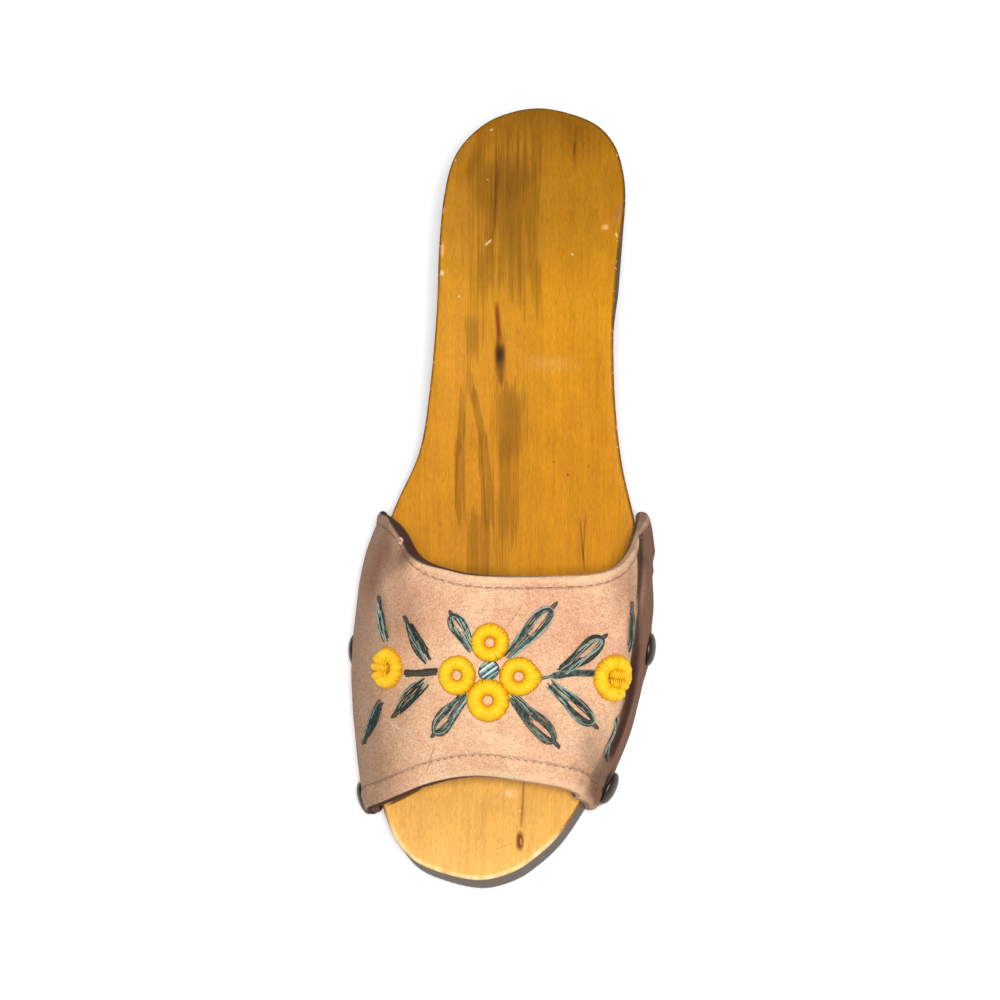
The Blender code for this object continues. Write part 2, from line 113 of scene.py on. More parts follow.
# Short ways to make nodes.
def put(tree, kind, inputs=None, **settings):
    made = tree.nodes.new(kind)
    for name, value in settings.items():
        setattr(made, name, value)
    for name, value in (inputs or {}).items():
        socket = made.inputs[name]
        if isinstance(value, bpy.types.NodeSocket):
            tree.links.new(value, socket)
        else:
            socket.default_value = value
    return made


def calc(tree, operation, first, second=0.0, third=0.0, clamp=False):
    inputs = {0: first, 1: second, 2: third}
    return put(tree, "ShaderNodeMath", inputs, operation=operation, use_clamp=clamp).outputs[0]


def times(tree, first, second, clamp=False):
    return calc(tree, "MULTIPLY", first, second, clamp=clamp)


def blendColours(tree, share, under, over, mode="MIX"):
    made = put(tree, "ShaderNodeMix", {0: share, 6: under, 7: over}, data_type="RGBA", blend_type=mode)
    return made.outputs[2]


def ease(tree, value, low, high):
    inputs = {"Value": value, "From Min": low, "From Max": high}
    return put(tree, "ShaderNodeMapRange", inputs, interpolation_type="SMOOTHSTEP").outputs["Result"]


def noise(tree, vector, scale, detail=2.0, roughness=0.5):
    inputs = {"Vector": vector, "Scale": scale, "Detail": detail, "Roughness": roughness}
    return put(tree, "ShaderNodeTexNoise", inputs).outputs["Fac"]


def stretched(tree, vector, scale):
    return put(tree, "ShaderNodeMapping", {"Vector": vector, "Scale": scale}).outputs[0]


def toneRamp(tree, value, stops):
    low = stops[0][0]
    high = stops[-1][0]
    share = put(tree, "ShaderNodeMapRange", {"Value": value, "From Min": low, "From Max": high})
    ramp = put(tree, "ShaderNodeValToRGB", {"Fac": share.outputs["Result"]})
    elements = ramp.color_ramp.elements
    elements[0].color = stops[0][1]
    elements[1].color = stops[-1][1]
    for place, tone in stops[1:-1]:
        elements.new((place - low) / (high - low)).color = tone
    return ramp.outputs["Color"]


def attributeOf(tree, name):
    return put(tree, "ShaderNodeAttribute", attribute_name=name).outputs["Fac"]


def newMaterial(name):
    material = bpy.data.materials.new(name)
    material.use_nodes = True
    return material, material.node_tree, material.node_tree.nodes["Principled BSDF"]


def setShader(shader, values):
    for name, value in values.items():
        shader.inputs[name].default_value = value


def relief(tree, shader, height, strength, distance):
    inputs = {"Height": height, "Strength": strength, "Distance": distance * mm}
    tree.links.new(put(tree, "ShaderNodeBump", inputs).outputs[0], shader.inputs["Normal"])


def millimetres(tree):
    place = put(tree, "ShaderNodeTexCoord").outputs["Object"]
    return put(tree, "ShaderNodeVectorMath", {0: place, "Scale": 1.0 / mm}, operation="SCALE").outputs[0]


def shaderGroup(name, inputs, outputs):
    tree = bpy.data.node_groups.new(name, "ShaderNodeTree")
    for label, kind, value in inputs:
        socket = tree.interface.new_socket(name=label, in_out="INPUT", socket_type=kind)
        if value is not None:
            socket.default_value = value
    for label in outputs:
        tree.interface.new_socket(name=label, in_out="OUTPUT", socket_type="NodeSocketFloat")
    return tree, tree.nodes.new("NodeGroupInput").outputs, tree.nodes.new("NodeGroupOutput").inputs


def useGroup(tree, group, inputs):
    return put(tree, "ShaderNodeGroup", inputs, node_tree=group).outputs


# Uneven tone at two sizes.
def makeMottle():
    tree, given, out = shaderGroup(
        "mottle",
        [
            ("Vector", "NodeSocketVector", None),
            ("Broad Scale", "NodeSocketFloat", 0.05),
            ("Fine Scale", "NodeSocketFloat", 1.0),
        ],
        ["Broad", "Fine"],
    )
    broad = noise(tree, given["Vector"], given["Broad Scale"], detail=3.0)
    fine = noise(tree, given["Vector"], given["Fine Scale"], detail=4.0, roughness=0.6)
    tree.links.new(broad, out["Broad"])
    tree.links.new(fine, out["Fine"])
    return tree


markShape = {
    "roundness": 2.6,
    "roundEnd": 2.4,
    "bluntEnd": 5.0,
    "bluntFrom": 8.0,  # half widths long
    "shortest": 0.2,
    "thinned": 0.5,
    "through": 1000.0,  # millimetres
}


# A mark one unit wide and long either way. The noise it is given tears its ends into fingers.
def makeBrokenMark():
    tree, given, out = shaderGroup(
        "brokenMark",
        [
            ("Vector", "NodeSocketVector", None),
            ("Noise", "NodeSocketFloat", 0.5),
            ("Break", "NodeSocketFloat", 0.5),
            ("Edge", "NodeSocketFloat", 0.4),
            ("Bluntness", "NodeSocketFloat", markShape["roundEnd"]),
        ],
        ["Mask"],
    )
    parts = put(tree, "ShaderNodeSeparateXYZ", {0: given["Vector"]}).outputs
    torn = calc(tree, "MULTIPLY_ADD", calc(tree, "SUBTRACT", given["Noise"], 0.5), given["Break"], 1.0)
    along = calc(tree, "DIVIDE", parts["Y"], calc(tree, "MAXIMUM", torn, markShape["shortest"]))
    across = calc(tree, "POWER", calc(tree, "ABSOLUTE", parts["X"]), markShape["roundness"])
    along = calc(tree, "POWER", calc(tree, "ABSOLUTE", along), given["Bluntness"])
    reach = calc(tree, "POWER", calc(tree, "ADD", across, along), 1.0 / markShape["roundness"])
    inside = calc(tree, "DIVIDE", calc(tree, "SUBTRACT", 1.0, reach), given["Edge"])
    gaps = times(tree, calc(tree, "SUBTRACT", 1.0, given["Noise"]), given["Break"])
    full = calc(tree, "MULTIPLY_ADD", gaps, -markShape["thinned"], 1.0, clamp=True)
    tree.links.new(times(tree, ease(tree, inside, 0.0, 1.0), full), out["Mask"])
    return tree


mottle = makeMottle()
brokenMark = makeBrokenMark()


# One mark on a material, between two pixels of the photo. Half is its half width in millimetres.
def markMask(tree, place, surface, mark, grain):
    a = seen(surface, mark["from"])
    b = seen(surface, mark["to"])
    run = (b - a).xy
    spot = put(
        tree,
        "ShaderNodeMapping",
        {
            "Vector": place,
            "Location": (*((a + b) / 2).xy, 0.0),
            "Rotation": (0.0, 0.0, math.atan2(run.y, run.x) - math.pi / 2),
            "Scale": (mark["half"], run.length / 2, markShape["through"]),
        },
        vector_type="TEXTURE",
    ).outputs[0]
    blunt = mark["tint"] == "stain" or run.length > markShape["bluntFrom"] * mark["half"]
    inputs = {
        "Vector": spot,
        "Noise": grain,
        "Break": mark["break"],
        "Edge": mark["edge"],
        "Bluntness": markShape["bluntEnd" if blunt else "roundEnd"],
    }
    mask = useGroup(tree, brokenMark, inputs)["Mask"]
    return times(tree, mask, mark["strength"])


def markRows(rows):
    names = ("from", "to", "half", "tint", "strength", "edge", "break")
    return [dict(zip(names, row)) for row in rows]


# Wooden sole. One row for each cross section: half widths from the centre line, heights of rim and
# underside, depth of the dished footbed, and how far the wall's foot stands in from its rim.
solePiece = {
    "length": 240.0,
    "steps": 8,
    "footbedColumns": 28,
    "rimRound": 1.2,
    "treadRound": 1.8,
    "roundSteps": 6,
    "wallSteps": 8,
    "columns": ("station", "medial", "lateral", "rim", "under", "dish", "medialTuck", "lateralTuck"),
    "rows": (
        (0.0, 0.0, 0.0, 25.4, 9.6, 0.0, 0.4, 0.4),
        (3.0, 15.6, 10.5, 24.9, 8.8, 0.0, 0.5, 0.5),
        (9.0, 23.8, 18.1, 23.9, 7.2, 0.1, 0.6, 0.6),
        (18.0, 29.3, 25.2, 22.6, 5.2, 0.3, 0.6, 0.6),
        (32.0, 34.9, 31.8, 21.2, 2.8, 0.5, 0.4, 0.5),
        (50.0, 39.5, 38.0, 20.4, 0.7, 0.7, 0.3, 0.3),
        (68.0, 42.3, 41.4, 20.6, 0.0, 0.8, 0.3, 0.2),
        (84.0, 43.0, 42.4, 22.0, 0.0, 0.8, 0.3, 0.1),
        (100.0, 41.7, 42.4, 25.2, 0.0, 0.8, 0.4, 0.1),
        (116.0, 36.6, 38.9, 30.6, 1.8, 0.8, 0.8, 0.4),
        (132.0, 30.2, 33.8, 37.4, 4.2, 0.9, 1.3, 1.1),
        (150.0, 28.2, 30.3, 45.2, 4.2, 1.1, 2.0, 1.9),
        (172.0, 27.7, 28.2, 53.6, 1.4, 1.5, 2.8, 2.8),
        (194.0, 28.6, 28.2, 59.8, 0.0, 2.0, 3.4, 3.4),
        (210.0, 28.4, 28.9, 63.0, 0.0, 2.0, 3.8, 3.8),
        (222.0, 26.3, 26.9, 64.8, 0.0, 1.6, 4.0, 4.0),
        (231.0, 20.5, 22.5, 65.8, 0.0, 0.9, 4.2, 4.2),
        (237.0, 12.2, 14.4, 66.3, 0.0, 0.3, 4.4, 4.4),
        (240.0, 0.0, 0.0, 66.5, 0.0, 0.0, 4.4, 4.4),
    ),
}


def smoothRows(rows, before, after, steps):
    points = np.vstack([before, rows, after])
    samples = []
    for first in range(len(rows) - 1):
        p0, p1, p2, p3 = points[first : first + 4]
        for t in np.arange(steps) / steps:
            bend = 2 * p0 - 5 * p1 + 4 * p2 - p3
            twist = 3 * p1 - p0 - 3 * p2 + p3
            samples.append(p1 + 0.5 * t * ((p2 - p0) + t * (bend + t * twist)))
    samples.append(points[-2])
    return np.array(samples)


# The outline turns round a tip, so past it the medial and lateral columns change places.
def aroundTheTip(row):
    turned = row.copy()
    turned[1:3] = -row[2:0:-1]
    turned[6:8] = row[7:5:-1]
    return turned


def soleTable():
    rows = np.array(solePiece["rows"])
    samples = smoothRows(rows, aroundTheTip(rows[1]), aroundTheTip(rows[-2]), solePiece["steps"])
    table = dict(zip(solePiece["columns"], samples.T))
    table["under"] = np.maximum(table["under"], 0.0)
    return table


sole = soleTable()
frameShift = np.array([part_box("sole")[0].x / mm + sole["medial"].max(), 0.0, 0.0])


def soleAt(column, station):
    return np.interp(station, sole["station"], sole[column])


def newObject(name, points, faces, materials):
    mesh = bpy.data.meshes.new(name)
    mesh.from_pydata((np.asarray(points) * mm).tolist(), [], faces)
    mesh.shade_smooth()
    for material in materials:
        mesh.materials.append(material)
    obj = bpy.data.objects.new(name, mesh)
    scene.collection.objects.link(obj)
    return obj


def setAttribute(mesh, name, values):
    attribute = mesh.attributes.new(name, "FLOAT", "POINT")
    attribute.data.foreach_set("value", np.asarray(values, dtype=np.float32))


def ringFaces(rings, count):
    faces = []
    for low in range(0, (rings - 1) * count, count):
        for i in range(count):
            j = (i + 1) % count
            faces.append((low + i, low + count + i, low + count + j, low + j))
    return faces


def soleRings():
    count = len(sole["station"])
    order = np.array(list(range(count)) + list(range(count - 2, 0, -1)))
    medial = np.arange(len(order)) < count
    sides = np.where(medial, -sole["medial"][order], sole["lateral"][order])
    tuck = np.where(medial, sole["medialTuck"][order], sole["lateralTuck"][order])
    plan = np.column_stack([sides, sole["station"][order] - solePiece["length"] / 2])
    along = np.roll(plan, -1, axis=0) - np.roll(plan, 1, axis=0)
    along /= np.linalg.norm(along, axis=1, keepdims=True)
    inward = np.column_stack([along[:, 1], -along[:, 0]])
    rim = sole["rim"][order]
    under = sole["under"][order]
    quarter = np.linspace(0.0, math.pi / 2, solePiece["roundSteps"])
    treadRound = solePiece["treadRound"]
    rimRound = solePiece["rimRound"]
    levels = []
    for t in quarter:
        levels.append((tuck + treadRound * (1 - math.sin(t)), under + treadRound * (1 - math.cos(t))))
    foot = levels[-1]
    top = (np.zeros_like(rim), rim - rimRound)
    for share in np.linspace(0.0, 1.0, solePiece["wallSteps"] + 1)[1:-1]:
        levels.append(tuple(a + share * (b - a) for a, b in zip(foot, top)))
    for t in quarter:
        inset = np.full_like(rim, rimRound * (1 - math.cos(t)))
        levels.append((inset, rim - rimRound * (1 - math.sin(t))))
    rings = [np.column_stack([plan + inward * inset[:, None], height]) for inset, height in levels]
    return rings, plan, count


# Closes a ring with rungs from its medial to its lateral side, each sunk by its own depth.
def fillRing(points, faces, first, size, count, sink, flip):
    columns = solePiece["footbedColumns"]
    rungs = [[first] * (columns + 1)]
    for i in range(1, count - 1):
        medial = points[first + i]
        lateral = points[first + size - i]
        rung = [first + i]
        for share in np.arange(1, columns) / columns:
            rung.append(len(points))
            drop = np.array([0.0, 0.0, sink[i] * 4 * share * (1 - share)])
            points.append(medial + (lateral - medial) * share - drop)
        rungs.append(rung + [first + size - i])
    rungs.append([first + count - 1] * (columns + 1))
    for near, far in zip(rungs, rungs[1:]):
        for c in range(columns):
            corners = list(dict.fromkeys((near[c], near[c + 1], far[c + 1], far[c])))
            faces.append(corners[::-1] if flip else corners)


def makeSole(material):
    rings, plan, count = soleRings()
    size = len(plan)
    points = list(np.vstack(rings))
    faces = ringFaces(len(rings), size)
    footbed = len(points)
    fillRing(points, faces, (len(rings) - 1) * size, size, count, sole["dish"], False)
    tread = len(points)
    fillRing(points, faces, 0, size, count, np.zeros_like(sole["dish"]), True)
    points = np.array(points)
    obj = newObject("woodenSole", points + frameShift, faces, [material])
    depth = soleAt("rim", points[:, 1] + solePiece["length"] / 2) - points[:, 2]
    depth[footbed:tread] = 0.0
    inset = np.min(np.linalg.norm(points[:, None, :2] - plan[None], axis=2), axis=1)
    setAttribute(obj.data, "depth", depth)
    setAttribute(obj.data, "inset", inset)
    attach(obj, "root")
    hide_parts("sole")
    print("sole made,", len(points), "points")


# Suede strap. The edge rows are its front edge, middle and rear edge, and the arch rows are its bends.
strapPiece = {
    "gap": 0.3,
    "foot": 4.0,
    "sections": 61,
    "across": 260,
    "bendSteps": 12,
    "panelRows": 56,
    "panelWall": 2.5,
    "hemWall": 3.2,
    "leastWall": 0.8,
    "frontHem": 6.5,
    "rearHem": 3.6,
    "hemSlope": 0.9,
    "pastHem": 2.5,
    "lipSteps": 7,
    "frontRows": {"start": 0.5, "step": 0.4},
    "rearRows": {"start": 0.4, "step": 0.35},
    "grooveDepth": 0.5,
    "grooveWidth": 0.55,
    "pucker": 0.25,
    "ripples": (
        {"height": 0.18, "across": 14, "front": 0.08, "rear": 0.11, "skew": 5, "phase": 0.7},
        {"height": 0.06, "across": 37, "front": 0.21, "rear": 0.27, "skew": -19, "phase": 0.0},
    ),
    "nailRing": {"height": 0.45, "radius": 9.5, "width": 2.6},
    "edgeColumns": (
        "medial", "lateral", "medialSlant", "lateralSlant", "medialFlare", "lateralFlare",
        "medialSplay", "lateralSplay", "swell", "lean", "crown", "crownHeight",
    ),
    "edgeRows": (
        (19.4, 26.0, 3.5, 5.0, 0.6, 0.6, 0.0, 0.0, 1.2, 0.0, 26.8, 44.5),
        (66.0, 73.0, 0.0, 0.0, 0.15, 0.1, 0.15, 0.15, 0.6, 0.25, 56.0, 54.5),
        (112.0, 117.2, -5.0, -7.0, 0.0, 0.3, 0.6, 0.6, 0.0, 1.0, 84.0, 62.0),
    ),
    "archColumns": ("across", "frontRise", "frontReach", "rearRise", "rearReach", "swelling", "leaning"),
    "archRows": (
        (-0.995, 0.08, 0.00, 0.14, 0.06, 0.7, 0.8),
        (-0.975, 0.20, 0.00, 0.32, 0.16, 1.0, 2.6),
        (-0.880, 0.37, 0.02, 0.60, 0.42, 0.6, 5.0),
        (-0.710, 0.55, 0.22, 0.82, 0.80, 0.1, 5.6),
        (-0.400, 0.83, 0.62, 0.955, 0.965, 0.0, 4.4),
        (0.000, 1.00, 1.00, 1.000, 1.000, 0.0, 0.0),
        (0.450, 0.98, 0.98, 0.985, 0.955, 0.0, 0.0),
        (0.800, 0.86, 0.86, 0.905, 0.860, 0.0, 0.6),
        (0.915, 0.70, 0.70, 0.740, 0.640, 0.0, 1.2),
        (0.905, 0.50, 0.50, 0.500, 0.360, 0.0, 3.2),
        (0.990, 0.26, 0.26, 0.240, 0.120, 0.0, 0.4),
    ),
}


def wallPoint(side, station, height, out):
    sign = -1.0 if side == "medial" else 1.0
    slope = soleAt(side, station + 0.5) - soleAt(side, station - 0.5)
    plan = np.array([sign, -slope, 0.0]) / math.hypot(1.0, slope)
    foot = soleAt("under", station) + solePiece["treadRound"]
    top = soleAt("rim", station) - solePiece["rimRound"]
    lean = soleAt(f"{side}Tuck", station) / (top - foot)
    tucked = lean * np.clip(top - height, 0.0, top - foot)
    rimPoint = np.array([sign * soleAt(side, station), station - solePiece["length"] / 2, height])
    return rimPoint + plan * (out - tucked)


def strapRow(along):
    front, middle, rear = np.array(strapPiece["edgeRows"])
    bend = 2 * (front + rear) - 4 * middle
    row = front + along * (rear - front - bend) + along**2 * bend
    return dict(zip(strapPiece["edgeColumns"], row))


def strapSection(along):
    row = strapRow(along)
    crown = np.array([0.0, row["crown"] - solePiece["length"] / 2, row["crownHeight"]])
    ends = {}
    for side in ("medial", "lateral"):
        out = strapPiece["gap"] + row[f"{side}Flare"]
        low = row[side] + row[f"{side}Slant"]
        splayed = out + row[f"{side}Splay"]
        foot = wallPoint(side, low, soleAt("under", low) + strapPiece["foot"], splayed)
        rim = wallPoint(side, row[side], soleAt("rim", row[side]), out)
        ends[side] = [foot, rim]
    left = ends["medial"][1]
    right = ends["lateral"][1]
    arch = []
    for values in strapPiece["archRows"]:
        bend = dict(zip(strapPiece["archColumns"], values))
        rise = bend["frontRise"] + along * (bend["rearRise"] - bend["frontRise"])
        reach = bend["frontReach"] + along * (bend["rearReach"] - bend["frontReach"])
        base = left + (right - left) * (bend["across"] + 1) / 2
        aside = bend["leaning"] * row["lean"] - bend["swelling"] * row["swell"]
        arch.append(base + (crown - base) * (0.0, reach, rise) + (aside, 0.0, 0.0))
    bends = np.array([*ends["medial"], *arch, *reversed(ends["lateral"])])
    before = 2 * bends[0] - bends[1]
    after = 2 * bends[-1] - bends[-2]
    return smoothRows(bends, before, after, strapPiece["bendSteps"])


def travelled(points):
    lengths = np.linalg.norm(np.diff(points, axis=0), axis=1)
    return np.concatenate([[0.0], np.cumsum(lengths)])


def pointsAt(points, wanted):
    way = travelled(points)
    return np.column_stack([np.interp(wanted, way, axis) for axis in points.T])


def evenLine(points, count):
    return pointsAt(points, np.linspace(0.0, travelled(points)[-1], count))


def sheetNormals(sheet):
    normals = np.cross(np.gradient(sheet, axis=1), np.gradient(sheet, axis=0))
    return normals / np.linalg.norm(normals, axis=2, keepdims=True)


def easeStep(value, low, high):
    t = np.clip((value - low) / (high - low), 0.0, 1.0)
    return t * t * (3.0 - 2.0 * t)


def bump(distance, width):
    return np.exp(-((distance / width) ** 2))


# The inside of the strap as a grid of points, with each point's distance from the front and rear edges.
def strapSheet():
    shares = np.linspace(0.0, 1.0, strapPiece["sections"])
    coarse = np.array([evenLine(strapSection(along), strapPiece["across"] + 1) for along in shares])
    lip = strapPiece["hemWall"] / 2
    turns = lip * (1 - np.cos(np.linspace(0.0, math.pi / 2, strapPiece["lipSteps"])))

    def hemRows(name):
        rows = strapPiece[f"{name}Rows"]
        last = strapPiece[f"{name}Hem"] + strapPiece["pastHem"]
        return np.concatenate([turns, np.arange(lip + rows["start"], last, rows["step"])])

    front = hemRows("front")
    rear = hemRows("rear")
    columns = []
    fromFront = []
    fromRear = []
    for column in range(strapPiece["across"] + 1):
        line = coarse[:, column]
        length = travelled(line)[-1]
        panel = np.linspace(front[-1], length - rear[-1], strapPiece["panelRows"] + 1)[1:-1]
        wanted = np.concatenate([front, panel, length - rear[::-1]])
        columns.append(pointsAt(line, wanted))
        fromFront.append(wanted)
        fromRear.append(length - wanted)
    sheet = np.array(columns).transpose(1, 0, 2)
    return sheet + frameShift, np.array(fromFront).T, np.array(fromRear).T


def gridTree(grid):
    rows, columns = grid.shape[:2]
    faces = []
    for r in range(rows - 1):
        for c in range(columns - 1):
            i = r * columns + c
            faces.append((i, i + 1, i + columns + 1, i + columns))
    return BVHTree.FromPolygons([Vector(p) for p in grid.reshape(-1, 3)], faces)


# Creases, as soft troughs and ridges along lines seen in the photo: depth below zero is a trough, and
# shade is how darkly painted shade and soil fill it.
creases = {
    "sideFold": {
        "line": ((444, 512), (442, 540), (439, 590), (436, 637), (432, 668), (425, 702), (414, 727)),
        "width": 1.9,
        "depth": -1.5,
    },
    "foldShadeAndSoil": {
        "line": (
            (444, 510), (443, 530), (442, 550), (441, 570), (440, 590), (439, 610), (438, 630), (436, 650),
            (433, 670), (429, 690), (424, 705), (415, 727),
        ),
        "width": 3.0,
        "depth": 0.0,
        "shade": 1.0,
    },
    "sideShoulder": {"line": ((428, 545), (428, 600), (423, 660), (413, 705)), "width": 3.0, "depth": 0.6},
    "flapRidge": {"line": ((450, 525), (450, 580), (448, 640), (440, 690)), "width": 2.4, "depth": 0.4},
    "cornerRoll": {"line": ((192, 500), (199, 520), (214, 541)), "width": 2.4, "depth": 0.6},
    "cornerDent": {
        "line": ((184, 510), (187, 535), (200, 558)),
        "width": 3.6,
        "depth": -0.8,
        "shade": 0.15,
    },
    "medialHollow": {"line": ((172, 600), (170, 660), (174, 715)), "width": 5.0, "depth": -0.5},
    "medialRipple": {"line": ((196, 690), (190, 720), (188, 745)), "width": 3.0, "depth": -0.35},
    "frontSag": {"line": ((215, 745), (245, 738)), "width": 4.0, "depth": -0.4},
    "frontPuff": {"line": ((200, 767), (218, 758)), "width": 3.0, "depth": 0.5},
    "lateralDrape": {"line": ((405, 640), (398, 690), (388, 735)), "width": 5.0, "depth": -0.4},
    "cornerWrinkleOne": {
        "line": ((376, 742), (392, 752), (410, 752)),
        "width": 1.3,
        "depth": -0.35,
        "shade": 0.3,
    },
    "cornerWrinkleTwo": {
        "line": ((384, 757), (398, 766), (414, 762)),
        "width": 1.3,
        "depth": -0.35,
        "shade": 0.3,
    },
    "cornerFlare": {"line": ((447, 498), (451, 510), (453, 528)), "width": 4.5, "depth": 1.3},
    "fineLine": {"line": ((329, 574), (318, 590), (307, 606)), "width": 0.45, "depth": -0.25},
}


def lineDistance(points, line):
    nearest = np.full(len(points), np.inf)
    for start, end in zip(line, line[1:]):
        run = end - start
        share = np.clip((points - start) @ run / (run @ run), 0.0, 1.0)
        nearest = np.minimum(nearest, np.linalg.norm(points - start - share[:, None] * run, axis=1))
    return nearest


def nearCrease(tree, points, crease):
    line = [np.array(seen(tree, pixel)) for pixel in crease["line"]]
    return bump(lineDistance(points, line), crease["width"])


# Painted shade and soil in the creases of the finished cloth.
def creaseShade(outside):
    tree = gridTree(outside)
    points = outside.reshape(-1, 3)
    shade = np.zeros(len(points))
    for crease in creases.values():
        if "shade" in crease:
            shade += crease["shade"] * nearCrease(tree, points, crease)
    return shade.reshape(outside.shape[:2])


def ripple(middle, fromFront, fromRear, wave):
    first = np.sin(wave["across"] * middle + wave["front"] * fromFront)
    second = np.sin(wave["rear"] * fromRear + wave["skew"] * middle + wave["phase"])
    return wave["height"] * (first * second)


# How far the lining and the suede stand from the inside sheet, and where the hems are.
def strapWall(sheet, normals, fromFront, fromRear):
    slope = strapPiece["hemSlope"]
    hem = 1.0 - easeStep(fromFront, strapPiece["frontHem"], strapPiece["frontHem"] + slope)
    hem = np.maximum(hem, 1.0 - easeStep(fromRear, strapPiece["rearHem"], strapPiece["rearHem"] + slope))
    wall = strapPiece["panelWall"] + hem * (strapPiece["hemWall"] - strapPiece["panelWall"])
    lip = strapPiece["hemWall"] / 2
    edge = np.clip(1.0 - np.minimum(fromFront, fromRear) / lip, 0.0, 1.0)
    swell = np.sqrt(np.maximum(1.0 - edge**2, 0.0))
    inner = lip * (1.0 - swell)
    outer = wall + (lip - wall) * (1.0 - swell)
    around = np.array([travelled(row) for row in sheet])
    for name, distance in (("front", fromFront), ("rear", fromRear)):
        waves = np.cos(2 * math.pi * around / seamPiece[name]["pitch"])
        pucker = 1.0 - strapPiece["pucker"] + strapPiece["pucker"] * waves
        groove = bump(distance - strapPiece[f"{name}Hem"], strapPiece["grooveWidth"])
        outer -= strapPiece["grooveDepth"] * pucker * groove
    middle = around / around[:, -1:] - 0.5
    outer += sum(ripple(middle, fromFront, fromRear, wave) for wave in strapPiece["ripples"]) * swell
    flat = (sheet + outer[:, :, None] * normals).reshape(-1, 3)
    tree = gridTree(flat.reshape(sheet.shape))
    change = np.zeros(len(flat))
    for crease in creases.values():
        change += crease["depth"] * nearCrease(tree, flat, crease)
    ring = strapPiece["nailRing"]
    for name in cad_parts:
        if name.startswith("nail"):
            head = np.array((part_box(name)[0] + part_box(name)[1]) / 2) / mm
            distance = np.linalg.norm(flat - head, axis=1)
            change += ring["height"] * bump(distance - ring["radius"], ring["width"])
    outer += change.reshape(outer.shape) * swell
    return inner, np.maximum(outer, inner + strapPiece["leastWall"] * swell), hem


def makeStrap(suede, lining, rawEdge):
    sheet, fromFront, fromRear = strapSheet()
    normals = sheetNormals(sheet)
    inner, outer, hem = strapWall(sheet, normals, fromFront, fromRear)
    outside = sheet + outer[:, :, None] * normals
    inside = sheet + inner[:, :, None] * normals
    rows, columns = sheet.shape[:2]
    points = np.vstack([outside.reshape(-1, 3), inside[1:-1].reshape(-1, 3)])

    def out(r, c):
        return r * columns + c

    def back(r, c):
        return out(r, c) if r in (0, rows - 1) else (rows + r - 1) * columns + c

    faces = []
    kinds = []
    for r in range(rows - 1):
        for c in range(columns - 1):
            faces.append((out(r, c), out(r, c + 1), out(r + 1, c + 1), out(r + 1, c)))
            faces.append((back(r, c), back(r + 1, c), back(r + 1, c + 1), back(r, c + 1)))
            kinds += [0, 1]
        for c, turned in ((0, False), (columns - 1, True)):
            corners = list(dict.fromkeys((out(r, c), out(r + 1, c), back(r + 1, c), back(r, c))))
            faces.append(corners[::-1] if turned else corners)
            kinds.append(2)
    obj = newObject("suedeStrap", points, faces, [suede, lining, rawEdge])
    obj.data.polygons.foreach_set("material_index", kinds)
    around = np.array([travelled(row) for row in sheet])
    side = 2 * around / around[:, -1:] - 1
    edge = np.minimum(fromFront, fromRear)
    rear = (fromRear < fromFront) * 1.0
    attributes = {"hem": hem, "side": side, "edge": edge, "rear": rear, "soilAndShade": creaseShade(outside)}
    for name, values in attributes.items():
        setAttribute(obj.data, name, np.concatenate([values.ravel(), values[1:-1].ravel()]))
    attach(obj, "root")
    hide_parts("strap")
    print("strap made,", len(points), "points")
    return outside, fromFront, fromRear


def geometryTree(name, inputs):
    tree = bpy.data.node_groups.new(name, "GeometryNodeTree")
    tree.interface.new_socket(name="Geometry", in_out="INPUT", socket_type="NodeSocketGeometry")
    for label, kind in inputs:
        tree.interface.new_socket(name=label, in_out="INPUT", socket_type=kind)
    tree.interface.new_socket(name="Material", in_out="INPUT", socket_type="NodeSocketMaterial")
    tree.interface.new_socket(name="Geometry", in_out="OUTPUT", socket_type="NodeSocketGeometry")
    return tree, tree.nodes.new("NodeGroupInput").outputs, tree.nodes.new("NodeGroupOutput").inputs


def endTree(tree, geometry, material, out):
    real = put(tree, "GeometryNodeRealizeInstances", {"Geometry": geometry}).outputs[0]
    smooth = put(tree, "GeometryNodeSetShadeSmooth", {"Geometry": real}).outputs[0]
    last = put(tree, "GeometryNodeSetMaterial", {"Geometry": smooth, "Material": material}).outputs[0]
    tree.links.new(last, out["Geometry"])


# Geometry Nodes: an edge line in the mesh becomes a thread as thick as its threadRadius says.
def makeThreadTree():
    tree, given, out = geometryTree("spunThread", [("Sides", "NodeSocketInt")])
    curve = put(tree, "GeometryNodeMeshToCurve", {"Mesh": given["Geometry"]}).outputs["Curve"]
    radius = put(tree, "GeometryNodeInputNamedAttribute", {"Name": "threadRadius"}, data_type="FLOAT")
    ring = put(tree, "GeometryNodeCurvePrimitiveCircle", {"Resolution": given["Sides"], "Radius": 1.0})
    inputs = {
        "Curve": curve,
        "Profile Curve": ring.outputs["Curve"],
        "Scale": radius.outputs["Attribute"],
        "Fill Caps": True,
    }
    solid = put(tree, "GeometryNodeCurveToMesh", inputs).outputs["Mesh"]
    endTree(tree, solid, given["Material"], out)
    return tree


